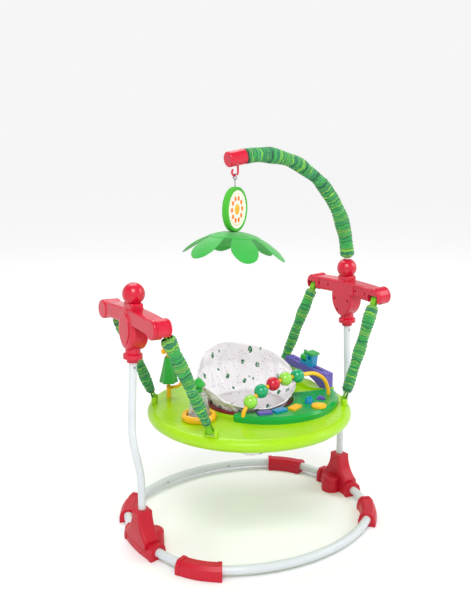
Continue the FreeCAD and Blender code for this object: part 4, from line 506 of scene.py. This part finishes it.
def seat_rim(turn):
    """Height of the rim: low in front, rising smoothly to the back."""
    back = 0.5 + 0.5 * math.sin(turn)
    wave = 0.0025 * math.sin(turn * 4 + 0.7) + 0.0015 * math.sin(turn * 7 + 2.0)
    return 0.398 + 0.113 * back ** 1.10 + wave * min(1.0, back * 2)


def seat_wall_mesh():
    """Closed padded wall from the ring up to a rolled rim, in gathers."""
    around, up = 150, 17
    wall = 0.0085
    mesh = bpy.data.meshes.new("seat_back_cloth")
    points = []
    loops = []
    for step in range(around):
        turn = 2 * math.pi * step / around
        out = Vector((math.cos(turn), math.sin(turn), 0))
        rim = seat_rim(turn)
        line = []
        for level in range(up):
            share = level / (up - 1)
            height = 0.3690 + (rim - 0.3690) * share
            radius, shift = seat_section(height)
            gather = noise.noise(Vector((turn * 5.2, share * 1.6, 1.5)))
            gather += 0.5 * noise.noise(Vector((turn * 12.0, share * 2.5, 7.5)))
            fold = 0.0075 * gather * math.sin(math.pi * min(1.0, 0.12 + share * 0.95))
            reach = radius - 0.0045 + fold
            line.append((out * reach + Vector((0, shift, height)), share))
        inner = [p - out * wall * (0.55 + 0.45 * math.sin(math.pi * share)) for p, share in line]
        outer = [p for p, share in line]
        top = (inner[-1] + outer[-1]) / 2 + Vector((0, 0, 0.004))
        ring = inner + [top] + outer[::-1]
        loops.append(len(ring))
        points += [seat_turn @ p for p in ring]
    count = loops[0]
    faces = []
    for step in range(around):
        after = (step + 1) % around
        for index in range(count):
            follow = (index + 1) % count
            faces.append((step * count + index, after * count + index,
                          after * count + follow, step * count + follow))
    mesh.from_pydata(points, [], faces)
    mesh.polygons.foreach_set("use_smooth", [True] * len(mesh.polygons))
    piece = bpy.data.objects.new("seat_back_cloth", mesh)
    scene.collection.objects.link(piece)
    return piece


def copied(name, source, cell):
    """A free copy of a CAD node's mesh, rebuilt in even small cells."""
    piece = bpy.data.objects.new(name, nodes[source].data.copy())
    piece.data.materials.clear()
    scene.collection.objects.link(piece)
    cells = piece.modifiers.new("cells", "REMESH")
    cells.mode = "VOXEL"
    cells.voxel_size = cell
    cells.use_smooth_shade = True
    settle(piece)
    return piece


def settle(piece):
    """Applies every modifier of a piece."""
    shaped = bpy.data.meshes.new_from_object(piece.evaluated_get(
        bpy.context.evaluated_depsgraph_get()))
    old = piece.data
    piece.modifiers.clear()
    piece.data = shaped
    bpy.data.meshes.remove(old)


def puff(piece, pressure, growth, limit, held):
    """Short cloth simulation: the cover swells and creases, and no point moves past the limit."""
    rest = [v.co.copy() for v in piece.data.vertices]
    fixed = piece.vertex_groups.new(name="held")
    for index, co in enumerate(rest):
        weight = held(co)
        if weight > 0:
            fixed.add([index], weight, "REPLACE")
    cloth = piece.modifiers.new("cloth", "CLOTH")
    cloth.settings.quality = 6
    cloth.settings.mass = 0.25
    cloth.settings.tension_stiffness = 18
    cloth.settings.compression_stiffness = 18
    cloth.settings.shear_stiffness = 8
    cloth.settings.bending_stiffness = 0.25
    cloth.settings.shrink_min = -growth
    cloth.settings.use_pressure = True
    cloth.settings.uniform_pressure_force = pressure
    cloth.settings.effector_weights.gravity = 0
    cloth.settings.vertex_group_mass = "held"
    cloth.collision_settings.use_collision = False
    cloth.point_cache.frame_start = 1
    cloth.point_cache.frame_end = 20
    for moment in range(1, 21):
        scene.frame_set(moment)
    settle(piece)
    piece.vertex_groups.clear()
    for vertex, start in zip(piece.data.vertices, rest):
        step = vertex.co - start
        if step.length > limit:
            vertex.co = start + step * (limit / step.length)
    finer = piece.modifiers.new("finer", "SUBSURF")
    finer.levels = 1
    finer.render_levels = 1
    settle(piece)
    piece.data.polygons.foreach_set("use_smooth", [True] * len(piece.data.polygons))
    scene.frame_set(1)


seat_back = seat_wall_mesh()
puff(seat_back, 4.0, 0.05, 0.008, lambda co: 1.0 if co.z < 0.3830 else 0.0)
seat_back.data.materials.append(cotton)
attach(seat_back, "seat")
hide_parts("seat_back")
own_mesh(seat_back)
seat_bowl = copied("seat_bowl_cloth", "seat_bucket", 0.0045)
puff(seat_bowl, 3.0, 0.03, 0.005, lambda co: 1.0 if co.z > 0.330 else 0.0)
seat_bowl.data.materials.append(cotton)
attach(seat_bowl, "seat")
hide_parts("seat_bucket")


# Felt parts: the crown on the tumbler, the skirt under the flower and the
# canopy of the hanging toy, each a little soft at its edges.
def felt_part(name, source, cell, body):
    """Soft felt form over its plain solid, with a slight unevenness."""
    piece = copied(name, source, cell)
    outward = [vertex.normal.copy() for vertex in piece.data.vertices]
    for vertex, way in zip(piece.data.vertices, outward):
        vertex.co += way * noise.noise(vertex.co * 34) * 0.0008
    smooth = piece.modifiers.new("smooth", "SMOOTH")
    smooth.factor = 0.6
    smooth.iterations = 3
    settle(piece)
    piece.data.polygons.foreach_set("use_smooth", [True] * len(piece.data.polygons))
    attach(piece, body)
    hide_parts(source)
    return piece


for felt_name, source, cell, body in (
    ("crown_felt", "tumbler_crown", 0.0014, "tumbler"),
    ("skirt_felt", "flower_skirt", 0.0010, "flower"),
    ("canopy_felt", "mobile_canopy", 0.0014, "mobile"),
):
    felt = felt_part(felt_name, source, cell, body)
    felt.data.materials.append(leaf)


# Hanging disc: a padded cloth roundel with a green edge and white faces. The
# faces hold a plain ring of dots round a yellow middle.
def roundel_cloth(middle, level, radius):
    """Green rim, white face, a ring of orange dots, a thin ring and a yellow middle."""
    material, tree, shader = new_material("roundel_cloth")
    place = add(tree, "TexCoord")
    off = add(tree, "VectorMath", operation="SUBTRACT")
    off.inputs[1].default_value = middle
    tree.links.new(place.outputs["Object"], off.inputs[0])
    beside = level.cross(Vector((0, 0, 1))).normalized()
    above = beside.cross(level)
    flat = []
    for axis in (beside, above):
        dot = add(tree, "VectorMath", operation="DOT_PRODUCT")
        dot.inputs[1].default_value = axis
        tree.links.new(off.outputs["Vector"], dot.inputs[0])
        flat.append(dot.outputs["Value"])

    def sum_of(operation, first, second=None):
        step = add(tree, "Math", operation=operation)
        for slot, value in ((0, first), (1, second)):
            if value is None:
                continue
            if isinstance(value, float):
                step.inputs[slot].default_value = value
            else:
                tree.links.new(value, step.inputs[slot])
        return step.outputs[0]

    reach = sum_of("SQRT", sum_of("ADD", sum_of("MULTIPLY", flat[0], flat[0]),
                                  sum_of("MULTIPLY", flat[1], flat[1])))
    turn = sum_of("MULTIPLY", sum_of("ARCTAN2", flat[0], flat[1]), 10 / (2 * math.pi))
    aside = sum_of("SUBTRACT", sum_of("FRACT", turn), 0.5)
    aside = sum_of("MULTIPLY", sum_of("MULTIPLY", aside, reach), 2 * math.pi / 10)
    outward = sum_of("SUBTRACT", reach, radius * 0.50)
    near = sum_of("SQRT", sum_of("ADD", sum_of("MULTIPLY", aside, aside),
                                 sum_of("MULTIPLY", outward, outward)))
    colour = None
    for mask, tint in (
        (None, (0.84, 0.80, 0.72)),
        (sum_of("LESS_THAN", near, radius * 0.115), (0.82, 0.20, 0.012)),
        (sum_of("LESS_THAN", reach, radius * 0.24), (0.88, 0.42, 0.02)),
        (sum_of("COMPARE", reach, radius * 0.70), (0.62, 0.52, 0.10)),
        (sum_of("GREATER_THAN", reach, radius * 0.84), (0.05, 0.40, 0.02)),
    ):
        if mask is None:
            colour = add(tree, "RGB").outputs[0]
            colour.default_value = (*tint, 1)
            continue
        over = add(tree, "Mix", data_type="RGBA")
        tree.links.new(mask, over.inputs[0])
        tree.links.new(colour, over.inputs[6])
        over.inputs[7].default_value = (*tint, 1)
        colour = over.outputs[2]
        if mask.node.operation == "COMPARE":
            mask.node.inputs[2].default_value = 0.0009
    weave = add(tree, "Group")
    weave.node_tree = plain_weave
    weave.inputs["Scale"].default_value = 300
    tree.links.new(colour, shader.inputs["Base Color"])
    tree.links.new(weave.outputs["Normal"], shader.inputs["Normal"])
    shader.inputs["Roughness"].default_value = 0.8
    return material


disc = copied("hanging_disc_cloth", "mobile_disc", 0.0018)
spots = np.array([v.co for v in disc.data.vertices])
disc_middle = spots.mean(axis=0)
widths, ways = np.linalg.eigh(np.cov((spots - disc_middle).T))
disc_level = Vector(ways[:, 0]).normalized()
disc_radius = float(np.linalg.norm(spots - disc_middle, axis=1).max())
disc.data.materials.append(roundel_cloth(Vector(disc_middle), disc_level, disc_radius))
disc.data.polygons.foreach_set("use_smooth", [True] * len(disc.data.polygons))
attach(disc, "mobile")
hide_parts("mobile_disc")


# Floor, light and camera: a pale studio sweep in even soft light, its far floor lifted by a
# painted glow.
bpy.ops.mesh.primitive_plane_add(size=90, location=(0, 0, -0.0005))
floor = bpy.context.object
floor.name = "studio_floor"
floor_material, floor_tree, floor_shader = new_material("floor_paper")
floor_shader.inputs["Base Color"].default_value = (0.90, 0.90, 0.90, 1)
floor_shader.inputs["Roughness"].default_value = 0.95
floor_shader.inputs["Specular IOR Level"].default_value = 0.1
# Painted light: the floor emits a glow that grows with distance from the middle, brightening the
# far floor.
floor_place = add(floor_tree, "TexCoord")
away = add(floor_tree, "VectorMath", operation="LENGTH")
floor_tree.links.new(floor_place.outputs["Object"], away.inputs[0])
glow = add(floor_tree, "MapRange", interpolation_type="SMOOTHSTEP")
glow.inputs["From Min"].default_value = 0.6
glow.inputs["From Max"].default_value = 4.5
glow.inputs["To Min"].default_value = 0.0
glow.inputs["To Max"].default_value = 0.46
floor_tree.links.new(away.outputs["Value"], glow.inputs["Value"])
floor_shader.inputs["Emission Color"].default_value = (1, 1, 1, 1)
floor_tree.links.new(glow.outputs["Result"], floor_shader.inputs["Emission Strength"])
floor.data.materials.append(floor_material)

world = bpy.data.worlds.new("studio")
world.use_nodes = True
sky = world.node_tree
direction = add(sky, "TexCoord")
parts = add(sky, "SeparateXYZ")
sky.links.new(direction.outputs["Generated"], parts.inputs["Vector"])
height = add(sky, "MapRange")
height.inputs["From Min"].default_value = 0.22
height.inputs["From Max"].default_value = 0.62
height.inputs["To Min"].default_value = 0.92
height.inputs["To Max"].default_value = 0.40
sky.links.new(parts.outputs["Z"], height.inputs["Value"])
sky.links.new(height.outputs["Result"], sky.nodes["Background"].inputs["Strength"])
sky.nodes["Background"].inputs["Color"].default_value = (1, 1, 1, 1)
scene.world = world
for name, place, power, width in (
    ("key_light", (-1.5, -2.0, 2.9), 80, 1.6),
    ("fill_light", (2.4, -1.4, 2.1), 34, 1.8),
    ("top_light", (0.2, 1.4, 3.2), 52, 2.2),
):
    data = bpy.data.lights.new(name, "AREA")
    data.energy = power
    data.size = width
    lamp = bpy.data.objects.new(name, data)
    lamp.location = place
    lamp.rotation_euler = (Vector((0, 0, 0.5)) - Vector(place)).to_track_quat("-Z", "Y").to_euler()
    scene.collection.objects.link(lamp)

camera_data = bpy.data.cameras.new("photo_camera")
camera_data.lens = 47.43
camera_data.sensor_width = 36
camera = bpy.data.objects.new("photo_camera", camera_data)
camera.location = (-1.2872, -1.8892, 1.1758)
look = Vector((-0.0202, 0.0441, 0.6832)) - camera.location
camera.rotation_euler = look.to_track_quat("-Z", "Y").to_euler()
scene.collection.objects.link(camera)
scene.camera = camera
scene.view_settings.view_transform = "Standard"
